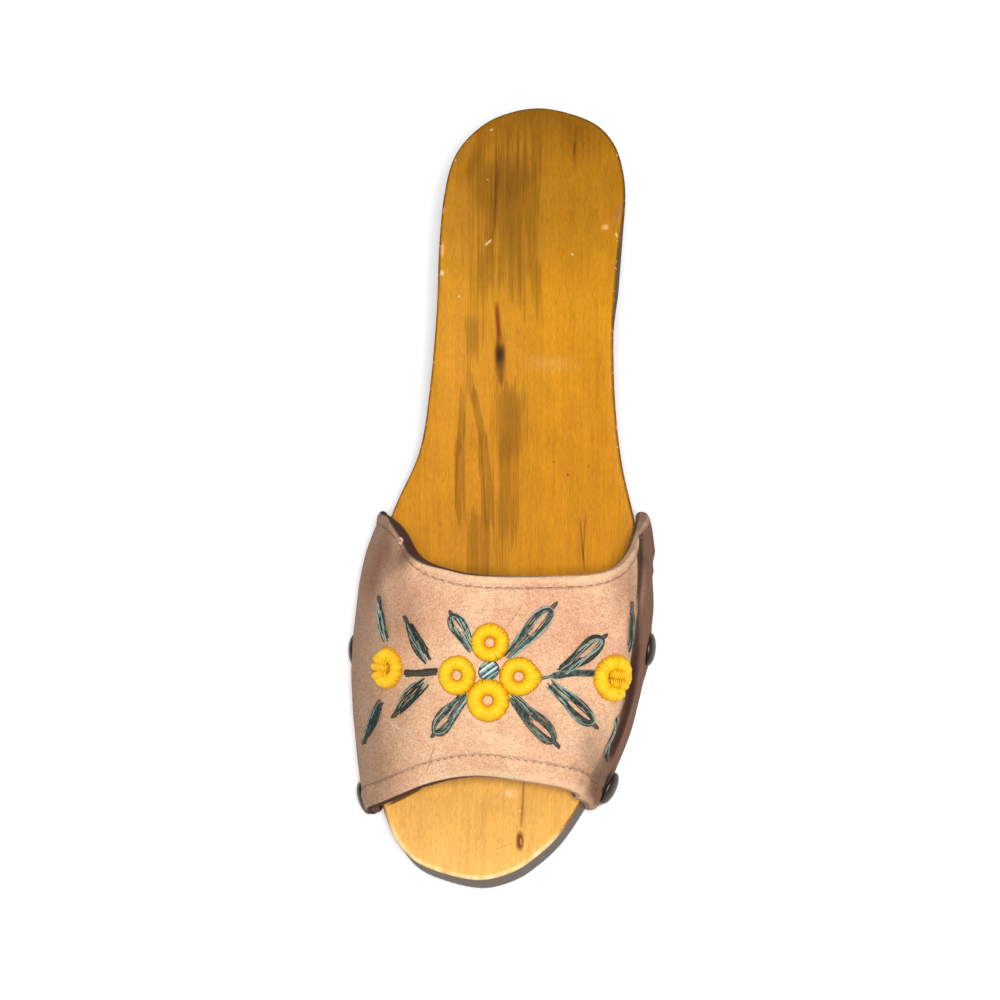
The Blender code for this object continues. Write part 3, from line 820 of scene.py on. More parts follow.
# Geometry Nodes: short stitches at a steady pitch along an edge line.
def makeStitchTree():
    tree, given, out = geometryTree(
        "hemStitches",
        [
            ("Pitch", "NodeSocketFloat"),
            ("Length", "NodeSocketFloat"),
            ("Thickness", "NodeSocketFloat"),
            ("Seed", "NodeSocketInt"),
        ],
    )
    curve = put(tree, "GeometryNodeMeshToCurve", {"Mesh": given["Geometry"]}).outputs["Curve"]
    inputs = {"Curve": curve, "Length": given["Pitch"]}
    spots = put(tree, "GeometryNodeCurveToPoints", inputs, mode="LENGTH")
    turn = put(tree, "FunctionNodeAlignRotationToVector", {"Vector": spots.outputs["Tangent"]}, axis="Z")
    capsule = put(tree, "GeometryNodeMeshUVSphere", {"Segments": 8, "Rings": 6, "Radius": 1.0})
    low, high = seamPiece["halfShares"]
    inputs = {"Min": low, "Max": high, "Seed": given["Seed"]}
    vary = put(tree, "FunctionNodeRandomValue", inputs, data_type="FLOAT").outputs[1]
    half = times(tree, given["Length"], vary)
    inputs = {"X": given["Thickness"], "Y": given["Thickness"], "Z": half}
    size = put(tree, "ShaderNodeCombineXYZ", inputs).outputs[0]
    inputs = {
        "Points": spots.outputs["Points"],
        "Instance": capsule.outputs["Mesh"],
        "Rotation": turn.outputs[0],
        "Scale": size,
    }
    placed = put(tree, "GeometryNodeInstanceOnPoints", inputs).outputs[0]
    endTree(tree, placed, given["Material"], out)
    return tree


# Geometry Nodes: one nail head at each point, standing along its outward direction.
def makeNailTree():
    tree, given, out = geometryTree("domeNails", [("Nail", "NodeSocketObject")])
    outward = put(tree, "GeometryNodeInputNamedAttribute", {"Name": "outward"}, data_type="FLOAT_VECTOR")
    inputs = {"Vector": outward.outputs["Attribute"]}
    turn = put(tree, "FunctionNodeAlignRotationToVector", inputs, axis="Z")
    nail = put(tree, "GeometryNodeObjectInfo", {"Object": given["Nail"]})
    inputs = {
        "Points": given["Geometry"],
        "Instance": nail.outputs["Geometry"],
        "Rotation": turn.outputs[0],
    }
    placed = put(tree, "GeometryNodeInstanceOnPoints", inputs).outputs[0]
    endTree(tree, placed, given["Material"], out)
    return tree


# Runs a tree on a mesh and keeps the result as a plain object.
def grow(name, mesh, tree, values, material):
    obj = bpy.data.objects.new(name, mesh)
    scene.collection.objects.link(obj)
    modifier = obj.modifiers.new(tree.name, "NODES")
    modifier.node_group = tree
    values = {**values, "Material": material}
    for item in tree.interface.items_tree:
        if item.in_out == "INPUT" and item.name in values:
            modifier[item.identifier] = values[item.name]
    made = bpy.data.meshes.new_from_object(obj.evaluated_get(bpy.context.evaluated_depsgraph_get()))
    obj.modifiers.remove(modifier)
    obj.data = made
    if not made.materials:
        made.materials.append(material)
    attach(obj, "root")
    print(name, "grown,", len(made.polygons), "faces")
    return obj


# Threads of one colour, kept as edge lines until they are spun.
class Bundle:
    def __init__(self):
        self.points = []
        self.edges = []
        self.radii = []
        self.shades = []

    def add(self, path, radii, shades, closed=False):
        first = len(self.points)
        last = first + len(path) - 1
        self.points.extend([tuple(p) for p in path])
        self.edges.extend((i, i + 1) for i in range(first, last))
        if closed:
            self.edges.append((last, first))
        self.radii.extend(np.broadcast_to(radii, len(path)))
        self.shades.extend(np.broadcast_to(shades, len(path)))

    def mesh(self, name):
        mesh = bpy.data.meshes.new(name)
        mesh.from_pydata((np.array(self.points) * mm).tolist(), self.edges, [])
        setAttribute(mesh, "threadRadius", np.array(self.radii) * mm)
        setAttribute(mesh, "shade", self.shades)
        return mesh


# The outside of the strap, to lay threads on.
class Cloth:
    def __init__(self, outside):
        self.tree = gridTree(outside)

    def spot(self, pixel):
        return seen(self.tree, pixel)

    def lift(self, point, height):
        place, normal = self.tree.find_nearest(point)[:2]
        return place + normal * height

    # Two directions on the cloth, to the photo's right and up.
    def axes(self, point):
        normal = self.tree.find_nearest(point)[1]
        right = Vector((1.0, 0.0, 0.0))
        right = (right - normal * right.dot(normal)).normalized()
        return right, normal.cross(right)

    # The direction across a run on the cloth.
    def across(self, point, run):
        return self.tree.find_nearest(point)[1].cross(run).normalized()


# Raised flower and buds. Places are pixels of the photo, sizes are millimetres on the cloth.
flowerPiece = {
    "petals": {
        "rear": {"centre": (292, 619), "radius": 5.5, "point": 0.0, "heading": 90},
        "medial": {"centre": (259, 652), "radius": 5.6, "point": 0.0, "heading": 185},
        "front": {"centre": (290, 677), "radius": 6.1, "point": 0.0, "heading": 270},
        "lateral": {"centre": (321, 653), "radius": 5.6, "point": 0.5, "heading": 2},
    },
    "hole": 1.55,
    "height": 1.9,
    "pointSharpness": 14,
    "stitches": 58,
    "seed": 7,
    "eye": {
        "centre": (291, 647),
        "half": 2.9,
        "halfWidth": 2.3,
        "height": 1.25,
        "turn": 40,
        "strands": 9,
        "narrowing": 0.72,
        "rounding": 0.95,
        "points": 9,
        "lift": 0.1,
        "thread": 0.34,
        "shades": (0.0, 0.15, 0.6, 1.0),
        "outline": {"points": 24, "along": 1.05, "across": 1.1, "lift": 0.5, "thread": 0.3, "shade": 0.9},
    },
}
stitchPiece = {
    "points": 9,
    "slant": 0.7,  # pitches
    "outward": (0.97, 1.04),
    "rise": (0.9, 1.08),
    "lift": 0.05,
    "thread": (0.6, 0.7),  # pitches
    "leastThread": 0.16,
    "shade": {"even": 0.3, "foot": 0.7, "steepness": 3},
    "rim": {"reach": 0.96, "lift": 0.45, "thread": 0.3, "shade": 1.2},
    "padding": {"places": (-0.45, 0.0, 0.45), "lift": 0.35, "thread": 0.42, "shade": 0.8},
}
budPiece = {
    "medial": {
        "centre": (187, 645),
        "cup": {"shift": (0.7, 0.0), "radius": 3.8, "half": 2.1, "from": -138, "to": 138, "stitches": 38},
        "rolls": (((1.2, 1.6), (-4.1, 2.7)), ((1.4, 0.0), (-5.0, 0.2)), ((1.2, -1.7), (-4.1, -2.8))),
    },
    "lateral": {
        "centre": (419, 654),
        "cup": {"shift": (-0.8, 0.0), "radius": 4.4, "half": 2.2, "from": -14, "to": 302, "stitches": 46},
        "rolls": (((-2.7, 1.2), (2.9, 1.0)), ((-2.4, -1.1), (3.5, -2.4))),
    },
    "height": 1.9,
    "rollHalf": 1.5,
    "rollHeight": 2.4,
    "rollPitch": 0.52,
    # rollShade darkens the rolls of the buds: painted shade in their curls.
    "rollShade": 0.2,
    "rollPoints": 7,
    "rollEnds": 0.12,
    "rollThread": 0.56,  # pitches
    "rollSlant": 0.25,
    "rollLift": 0.25,
    "core": {"points": 7, "from": 0.04, "to": 0.96, "lift": 0.9, "thread": 0.85, "shade": 0.8},
}


# Painted shade: a deeper tone at both feet of a stitch, where it meets the cloth, over a random tone.
def deeper(draw, turns):
    shade = stitchPiece["shade"]
    foot = np.abs(np.cos(turns)) ** shade["steepness"]
    return shade["even"] * draw.uniform(0.0, 1.0) + shade["foot"] * foot


# Stitches over a ring or a part of one, each an arch from the inside of the ring to its outside.
def ringStitches(bundle, cloth, centre, ring, height, swellAt, draw):
    right, up = cloth.axes(centre)

    def at(reach, turn):
        return centre + right * (reach * math.cos(turn)) + up * (reach * math.sin(turn))

    whole = ring["to"] - ring["from"] >= 360
    angles = np.radians(np.linspace(ring["from"], ring["to"], ring["stitches"], endpoint=not whole))
    pitch = math.radians((ring["to"] - ring["from"]) / ring["stitches"])
    turns = np.linspace(0.0, math.pi, stitchPiece["points"])
    for turn in angles:
        slant = draw.uniform(-stitchPiece["slant"], stitchPiece["slant"]) * pitch
        grown = swellAt(turn) * draw.uniform(*stitchPiece["outward"])
        rise = height * draw.uniform(*stitchPiece["rise"])
        path = []
        radii = []
        for t in turns:
            reach = ring["radius"] - ring["half"] * math.cos(t) * (1.0 if t < math.pi / 2 else grown)
            flat = at(reach, turn + slant * (t / math.pi - 0.5))
            path.append(cloth.lift(flat, rise * math.sin(t) + stitchPiece["lift"]))
            thread = reach * pitch * draw.uniform(*stitchPiece["thread"])
            radii.append(max(stitchPiece["leastThread"], thread))
        bundle.add(path, radii, deeper(draw, turns))
    if whole:
        rim = stitchPiece["rim"]
        reach = ring["radius"] - rim["reach"] * ring["half"]
        path = [cloth.lift(at(reach, turn), rim["lift"]) for turn in angles]
        bundle.add(path, rim["thread"], rim["shade"], closed=True)
    padding = stitchPiece["padding"]
    steps = angles if whole else angles[1:-1]
    for place in padding["places"]:
        reach = ring["radius"] + place * ring["half"]
        path = [cloth.lift(at(reach, turn), padding["lift"] * height) for turn in steps]
        bundle.add(path, padding["thread"] * height, padding["shade"], closed=whole)


def evenRing(turn):
    return 1.0


def pointedRing(heading, point):
    def swellAt(turn):
        near = max(0.0, math.cos(turn - math.radians(heading)))
        return 1.0 + point * near ** flowerPiece["pointSharpness"]

    return swellAt


# A roll of close wraps round a straight core.
def rollStitches(bundle, cloth, centre, start, end, draw):
    right, up = cloth.axes(centre)
    a = centre + right * start[0] + up * start[1]
    b = centre + right * end[0] + up * end[1]
    count = int((b - a).length / budPiece["rollPitch"])
    across = cloth.across(a, (b - a).normalized())
    turns = np.linspace(0.0, math.pi, budPiece["rollPoints"])
    for i in range(count + 1):
        share = i / count
        ends = budPiece["rollEnds"]
        taper = math.sqrt(math.sin(math.pi * (ends + (1.0 - 2 * ends) * share)))
        slant = (b - a).normalized() * draw.uniform(-budPiece["rollSlant"], budPiece["rollSlant"])
        path = []
        for t in turns:
            aside = across * (budPiece["rollHalf"] * taper * math.cos(t)) + slant * math.cos(t)
            lift = budPiece["rollLift"] + budPiece["rollHeight"] * taper * math.sin(t)
            path.append(cloth.lift(a.lerp(b, share) + aside, lift))
        thread = budPiece["rollPitch"] * budPiece["rollThread"]
        bundle.add(path, thread, deeper(draw, turns) + budPiece["rollShade"])
    core = budPiece["core"]
    shares = np.linspace(core["from"], core["to"], core["points"])
    path = [cloth.lift(a.lerp(b, t), core["lift"]) for t in shares]
    bundle.add(path, core["thread"] * budPiece["rollHalf"], core["shade"])


def makeFlower(cloth, yellow, eyeThread, dark, draw):
    hole = flowerPiece["hole"]
    for petal in flowerPiece["petals"].values():
        ring = {
            "radius": (petal["radius"] + hole) / 2,
            "half": (petal["radius"] - hole) / 2,
            "from": 0,
            "to": 360,
            "stitches": flowerPiece["stitches"],
        }
        shape = pointedRing(petal["heading"], petal["point"])
        ringStitches(yellow, cloth, cloth.spot(petal["centre"]), ring, flowerPiece["height"], shape, draw)
    eye = flowerPiece["eye"]
    centre = cloth.spot(eye["centre"])
    right, up = cloth.axes(centre)
    turn = math.radians(eye["turn"])
    run = right * math.cos(turn) + up * math.sin(turn)
    across = cloth.across(centre, run)
    for place in np.linspace(-1.0, 1.0, eye["strands"]):
        bulge = math.sqrt(1.0 - eye["narrowing"] * place**2)
        path = []
        for t in np.linspace(-1.0, 1.0, eye["points"]):
            flat = centre + run * (t * eye["half"] * bulge) + across * (place * eye["halfWidth"])
            rise = eye["height"] * bulge * math.sqrt(1.0 - eye["rounding"] * t * t)
            path.append(cloth.lift(flat, eye["lift"] + rise))
        eyeThread.add(path, eye["thread"], draw.choice(eye["shades"]))
    outline = eye["outline"]
    path = []
    for t in np.linspace(0.0, 2 * math.pi, outline["points"], endpoint=False):
        length = outline["along"] * eye["half"] * math.cos(t)
        aside = outline["across"] * eye["halfWidth"] * math.sin(t)
        path.append(cloth.lift(centre + run * length + across * aside, outline["lift"]))
    dark.add(path, outline["thread"], outline["shade"], closed=True)


def makeBuds(cloth, yellow, draw):
    for name in ("medial", "lateral"):
        bud = budPiece[name]
        middle = cloth.spot(bud["centre"])
        right, up = cloth.axes(middle)
        centre = middle + right * bud["cup"]["shift"][0] + up * bud["cup"]["shift"][1]
        ringStitches(yellow, cloth, centre, bud["cup"], budPiece["height"], evenRing, draw)
        for start, end in bud["rolls"]:
            rollStitches(yellow, cloth, middle, start, end, draw)


# Leaves. An open leaf is a bunch of loops round a bare eye, tied down at its tip.
leafPiece = {
    "threadRadius": 0.17,
    "threads": (0.8, 1.2),
    "points": 9,
    "lift": 0.65,
    "rises": (0.6, 1.3),
    "lowest": 0.12,
    "steepness": 0.4,
    "wander": 0.22,
    "waves": 9.0,
    "phases": (0.0, 6.0),
    "highlightStrands": {"share": 0.28, "shades": (0.0, 0.35)},
    "darkStrands": {"shades": (0.8, 1.15)},
    "loops": (1.0, 0.92, 0.84, 0.76, 0.68, 0.6, 0.52, 0.44, 0.36, 0.28),
    "loopPoints": 25,
    "loopStarts": (-0.04, 0.08),
    "loopEnd": 0.92,
    "loopShorter": 0.1,
    "loopWidth": {
        "base": 0.52,
        "swelling": 0.48,
        "swells": (0.05, 0.62),
        "rounds": 0.66,
        "roundLength": 0.26,
    },
    "fill": {
        "strands": 11,
        "points": 9,
        "spread": 0.36,
        "narrow": 0.55,
        "widening": 0.5,
        "starts": (-0.07, 0.08),
        "ends": (0.36, 0.58),
    },
    "bunch": {
        "strands": 16,
        "points": 11,
        "starts": (-0.07, 0.14),
        "ends": (0.78, 1.02),
        "least": 0.28,
        "even": 0.7,
        "swelling": 0.3,
        "tapering": 0.6,
        "tapers": (0.45, 1.0),
    },
    "tie": {
        "places": (-0.4, 0.0, 0.4),
        "shares": (0.84, 0.9, 0.96, 1.0),
        "threads": (0.3, 0.42, 0.4, 0.28),
        "shades": (0.4, 1.0),
        "ends": (0.99, 1.05),
        "gathered": 1.6,
        "lift": 0.5,
    },
    # tone darkens a whole leaf: painted shade on leaves nearer the strap's sides.
    "columns": ("base", "tip", "width", "open", "tone"),
    "rows": (
        ((275, 627), (252, 588), 5.5, True, 0.0),
        ((311, 632), (358, 580), 6.2, True, 0.0),
        ((267, 672), (234, 714), 6.2, True, 0.0),
        ((315, 674), (360, 722), 6.2, True, 0.0),
        ((229, 636), (207, 594), 4.6, False, 0.2),
        ((226, 659), (195, 694), 5.0, False, 0.2),
        ((187, 616), (181, 574), 4.0, False, 0.2),
        ((182, 680), (165, 721), 4.0, False, 0.2),
        ((364, 648), (408, 611), 6.0, True, 0.2),
        ((353, 660), (398, 703), 5.8, True, 0.2),
        ((431, 626), (433, 579), 4.0, False, 0.5),
        ((419, 694), (408, 735), 4.0, False, 0.3),
    ),
}
stemPiece = {
    "threadRadius": 0.27,
    "threads": (0.9, 1.15),
    "shades": (0.6, 1.05),
    "starts": (-0.03, 0.05),
    "phases": (0.0, 6.0),
    "strands": 7,
    "bends": 9,
    "points": 13,
    "wander": 0.08,
    "waves": 8.0,
    "lift": 0.5,
    "sink": 0.8,
    "rows": (
        {"line": ((207, 650), (222, 650), (239, 648)), "width": 2.2, "thread": "dark"},
        {"line": ((355, 652), (376, 649), (398, 649)), "width": 2.1, "thread": "teal"},
        {"line": ((334, 657), (346, 654), (360, 651)), "width": 1.0, "thread": "teal"},
    ),
}


# A point at a share of a leaf's centre line, moved across and lifted.
def leafPoint(cloth, line, share, aside, lift):
    spot = share * (len(line) - 1)
    low = max(0, min(int(spot), len(line) - 2))
    run = line[low + 1] - line[low]
    middle = line[low] + run * (spot - low)
    return cloth.lift(middle + cloth.across(middle, run.normalized()) * aside, lift)


def loopWidth(share):
    loop = leafPiece["loopWidth"]
    body = loop["base"] + loop["swelling"] * easeStep(share, *loop["swells"])
    past = max(0.0, (share - loop["rounds"]) / loop["roundLength"])
    return body * math.sqrt(max(0.0, 1.0 - past**2))


def bunchWidth(share):
    bunch = leafPiece["bunch"]
    body = bunch["even"] + bunch["swelling"] * math.sin(math.pi * share)
    return max(bunch["least"], body - bunch["tapering"] * easeStep(share, *bunch["tapers"]))


# Loops up one side of an open leaf and down the other, and strands that fill its base.
def openLeafPaths(width, half, draw):
    paths = []
    count = leafPiece["loopPoints"]
    sides = np.sign(count // 2 - np.arange(count))
    for size in leafPiece["loops"]:
        start = draw.uniform(*leafPiece["loopStarts"])
        end = leafPiece["loopEnd"] - leafPiece["loopShorter"] * (1.0 - size)
        shares = start + (end - start) * np.sin(np.linspace(0.0, math.pi, count))
        widths = [size * half * loopWidth(s * leafPiece["loopEnd"] / end) for s in shares]
        paths.append(list(zip(shares, sides * widths)))
    fill = leafPiece["fill"]
    for spread in np.linspace(-fill["spread"], fill["spread"], fill["strands"]):
        shares = np.linspace(draw.uniform(*fill["starts"]), draw.uniform(*fill["ends"]), fill["points"])
        paths.append([(s, spread * width * (fill["narrow"] + fill["widening"] * s)) for s in shares])
    return paths


def closedLeafPaths(half, draw):
    paths = []
    bunch = leafPiece["bunch"]
    for spread in np.linspace(-1.0, 1.0, bunch["strands"]):
        shares = np.linspace(draw.uniform(*bunch["starts"]), draw.uniform(*bunch["ends"]), bunch["points"])
        paths.append([(s, half * spread * bunchWidth(s)) for s in shares])
    return paths


# Some strands are light, as painted highlights, most are dark.
def strandShade(draw):
    light = draw.random() < leafPiece["highlightStrands"]["share"]
    return draw.uniform(*leafPiece["highlightStrands" if light else "darkStrands"]["shades"])


def makeLeaves(cloth, teal, dark, draw):
    thin = leafPiece["threadRadius"]
    tie = leafPiece["tie"]
    for values in leafPiece["rows"]:
        leaf = dict(zip(leafPiece["columns"], values))
        base = cloth.spot(leaf["base"])
        tip = cloth.spot(leaf["tip"])
        line = [cloth.lift(base.lerp(tip, t), 0.0) for t in np.linspace(0.0, 1.0, leafPiece["points"])]
        half = leaf["width"] / 2 - thin
        paths = openLeafPaths(leaf["width"], half, draw) if leaf["open"] else closedLeafPaths(half, draw)
        for places in paths:
            rise = leafPiece["lift"] * draw.uniform(*leafPiece["rises"])
            phase = draw.uniform(*leafPiece["phases"])
            path = []
            for i, (share, aside) in enumerate(places):
                arch = math.sin(math.pi * i / (len(places) - 1)) ** leafPiece["steepness"]
                lift = leafPiece["lowest"] + rise * arch
                wander = leafPiece["wander"] * math.sin(phase + leafPiece["waves"] * share)
                path.append(leafPoint(cloth, line, share, aside + wander, lift))
            teal.add(path, thin * draw.uniform(*leafPiece["threads"]), strandShade(draw) + leaf["tone"])
        for aside in tie["places"]:
            end = draw.uniform(*tie["ends"])
            path = []
            for share in tie["shares"]:
                near = aside * (tie["gathered"] - share)
                path.append(leafPoint(cloth, line, share * end, near, tie["lift"]))
            dark.add(path, tie["threads"], draw.uniform(*tie["shades"]))


def makeStems(cloth, bundles, draw):
    thin = stemPiece["threadRadius"]
    for stem in stemPiece["rows"]:
        corners = np.array([cloth.spot(pixel) for pixel in stem["line"]])
        line = [Vector(p) for p in evenLine(corners, stemPiece["bends"])]
        for spread in np.linspace(-0.5, 0.5, stemPiece["strands"]):
            phase = draw.uniform(*stemPiece["phases"])
            start = draw.uniform(*stemPiece["starts"])
            path = []
            for share in np.linspace(start, 1.0 - start, stemPiece["points"]):
                wander = stemPiece["wander"] * math.sin(phase + stemPiece["waves"] * share)
                aside = spread * (stem["width"] - 2 * thin) + wander
                lift = stemPiece["lift"] - stemPiece["sink"] * spread**2
                path.append(leafPoint(cloth, line, share, aside, lift))
            thread = thin * draw.uniform(*stemPiece["threads"])
            bundles[stem["thread"]].add(path, thread, draw.uniform(*stemPiece["shades"]))


# Hem seams and a loose end of thread curled up at the rear corner. A stitch's half length is a share
# of its length.
seamPiece = {
    "front": {"pitch": 2.3, "length": 1.3, "thickness": 0.14, "seed": 3},
    "rear": {"pitch": 3.0, "length": 3.0, "thickness": 0.13, "seed": 5},
    "halfShares": (0.32, 0.56),
    "endShare": 0.13,  # left bare at both ends
    "looseEnd": {
        "place": (203, 518),
        "points": 40,
        "radius": 0.4,
        "turns": 1.6,
        "length": 2.6,
        "lift": 0.5,
        "thickness": 0.42,
        "shade": 0.2,
    },
}
threadSides = 8


def looseEndPath(cloth):
    curl = seamPiece["looseEnd"]
    middle = cloth.spot(curl["place"])
    right, up = cloth.axes(middle)
    path = []
    for share in np.linspace(0.0, 1.0, curl["points"]):
        turn = 2 * math.pi * curl["turns"] * share
        lift = curl["lift"] + curl["radius"] * math.sin(turn)
        aside = right * (curl["radius"] * math.cos(turn)) + up * (curl["length"] * (share - 0.5))
        path.append(middle + aside + right.cross(up) * lift)
    return path


def makeSeams(outside, fromFront, fromRear, cloth, tree, threads, material, pale):
    bare = int(seamPiece["endShare"] * outside.shape[1])
    for name, distance in (("front", fromFront), ("rear", fromRear)):
        row = int(np.argmin(np.abs(distance[:, 0] - strapPiece[f"{name}Hem"])))
        points = outside[row, bare:-bare]
        mesh = bpy.data.meshes.new(f"{name}Seam")
        mesh.from_pydata((points * mm).tolist(), [(i, i + 1) for i in range(len(points) - 1)], [])
        seam = seamPiece[name]
        values = {
            "Pitch": seam["pitch"] * mm,
            "Length": seam["length"] * mm,
            "Thickness": seam["thickness"] * mm,
            "Seed": seam["seed"],
        }
        stitches = grow(f"{name}HemStitches", mesh, tree, values, material)
    bundle = Bundle()
    bundle.add(looseEndPath(cloth), seamPiece["looseEnd"]["thickness"], seamPiece["looseEnd"]["shade"])
    knot = grow("looseEnd", bundle.mesh("looseEnd"), threads, {"Sides": threadSides}, pale)


# Dome nails. Heads are turned from a profile of radius and height.
nailPiece = {
    "radius": 5.2,
    "height": 2.6,
    "rim": 0.5,
    "sides": 40,
    "domeSteps": 10,
    "foot": ((0.985, 0.12), (0.94, 0.0), (0.0, 0.0)),  # shares of the radius, and heights
    "weld": 1e-6,
}


def nailHead(material):
    arc = np.linspace(math.pi / 2, 0.0, nailPiece["domeSteps"])
    rise = nailPiece["height"] - nailPiece["rim"]
    profile = [(nailPiece["radius"] * math.cos(t), nailPiece["rim"] + rise * math.sin(t)) for t in arc]
    profile += [(nailPiece["radius"] * share, height) for share, height in nailPiece["foot"]]
    bm = bmesh.new()
    line = [bm.verts.new((r * mm, 0.0, z * mm)) for r, z in profile]
    edges = [bm.edges.new(pair) for pair in zip(line, line[1:])]
    turn = {"cent": (0, 0, 0), "axis": (0, 0, 1), "angle": 2 * math.pi, "steps": nailPiece["sides"]}
    bmesh.ops.spin(bm, geom=line + edges, **turn)
    bmesh.ops.remove_doubles(bm, verts=bm.verts, dist=nailPiece["weld"])
    bmesh.ops.recalc_face_normals(bm, faces=bm.faces)
    mesh = bpy.data.meshes.new("nailHead")
    bm.to_mesh(mesh)
    bm.free()
    mesh.materials.append(material)
    return bpy.data.objects.new("nailHead", mesh)


# A nail's direction, from the tip of its shank to the top of its dome, and the seat of its head.
def nailSeat(spots):
    middle = spots.mean(axis=0)
    tip = spots[np.argmax(np.linalg.norm(spots - middle, axis=1))]
    axis = np.linalg.svd(spots - middle)[2][0]
    if np.max((spots - tip) @ axis) < np.max((tip - spots) @ axis):
        axis = -axis
    return axis, tip + axis * (np.max((spots - tip) @ axis) - nailPiece["height"] * mm)


def makeNails(tree, material):
    names = sorted(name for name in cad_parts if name.startswith("nail"))
    nodes = [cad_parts[name].data.vertices for name in names]
    seats = [nailSeat(np.array([v.co for v in spots])) for spots in nodes]
    mesh = bpy.data.meshes.new("nailSeats")
    mesh.from_pydata([seat.tolist() for axis, seat in seats], [], [])
    outward = np.array([axis for axis, seat in seats], dtype=np.float32)
    attribute = mesh.attributes.new("outward", "FLOAT_VECTOR", "POINT")
    attribute.data.foreach_set("vector", outward.ravel())
    head = nailHead(material)
    nails = grow("domeNails", mesh, tree, {"Nail": head}, material)
    bpy.data.objects.remove(head)
    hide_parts(*names)


# Finishes. Stain marks add up to one density that the grain tears. Tints that start with shade are
# multiplied into the wood, the others cover it. A noise is its stretch, detail and roughness, and a
# layer is its noise with its darkest tone and its range.
woodFinish = {
    # The tones darken from toe to heel: partly the wood's own colour, partly painted shade where the light
    # falls off towards the heel.
    "tones": (  # from toe to heel
        (-118.0, srgb(232, 176, 94)),
        (-88.0, srgb(230, 169, 81)),
        (-40.0, srgb(191, 126, 22)),
        (12.0, srgb(192, 127, 20)),
        (58.0, srgb(194, 132, 26)),
        (82.0, srgb(170, 114, 24)),
        (103.0, srgb(162, 107, 18)),
        (112.0, srgb(140, 91, 8)),
        (120.0, srgb(130, 84, 6)),
    ),
    "lateral": (1.0, 0.98, 0.45, 1.0),
    "wallFront": srgb(112, 103, 98),
    "wallSide": srgb(62, 44, 36),
    "stain": (0.67, 0.67, 0.53, 1.0),
    "deepStain": (0.80, 0.75, 0.66, 1.0),
    "edgeShadeLine": (0.22, 0.15, 0.12, 1.0),
    "rim": srgb(150, 98, 84),
    "shadeBrown": (0.50, 0.37, 0.24, 1.0),
    "shadeRust": (0.34, 0.13, 0.08, 1.0),
    "shadeKnotAndShadow": (0.12, 0.09, 0.08, 1.0),
    "pale": srgb(250, 220, 166),
    "pink": srgb(238, 172, 120),
    "noises": {
        "fibres": ((3.2, 0.5, 3.2), 3.0, 0.7),
        "pores": ((2.6, 0.22, 2.6), 3.0, 0.6),
        "grain": ((0.8, 0.022, 0.8), 5.0, 0.65),
        "strands": ((2.4, 0.035, 2.4), 3.0, 0.6),
        "bands": ((0.12, 0.004, 0.12), 2.0, 0.5),
        "blotches": ((0.34, 0.08, 0.34), 4.0, 0.6),
    },
    "layers": (
        ("bands", 0.86, 0.28),
        ("grain", 0.72, 0.56),
        ("patches", 0.84, 0.32),
        ("blotches", 0.76, 0.48),
        ("fibres", 0.58, 0.84),
    ),
    "tears": (("grain", 1.1), ("strands", 2.0), ("fibres", 0.8), ("blotches", 1.6)),
    "ragged": 9.0,
    "poreShare": 0.36,
    "lineShare": 1.4,
    "chipShare": 0.7,
    "veinShare": 0.6,
}
woodZones = {  # where each zone begins and where it is full
    "streaks": (0.36, 0.64),
    "pores": (0.55, 0.74),
    "lateralAcross": (-10.0, 12.0),
    "lateralAlong": (-84.0, -60.0),
    "stain": (0.20, 0.86),
    "deepStain": (0.85, 1.5),
    "toe": (-98.0, -110.0),
    "edgeShadeLine": (1.0, 0.35),
    "rimInset": (1.4, 0.8),
    "rimDepth": (1.3, 0.5),
    "chips": (0.62, 0.7),
    "bareToe": (0.3, 0.7),
    "wallAlong": (-100.0, -62.0),
    "wallDepth": (0.5, 1.3),
}
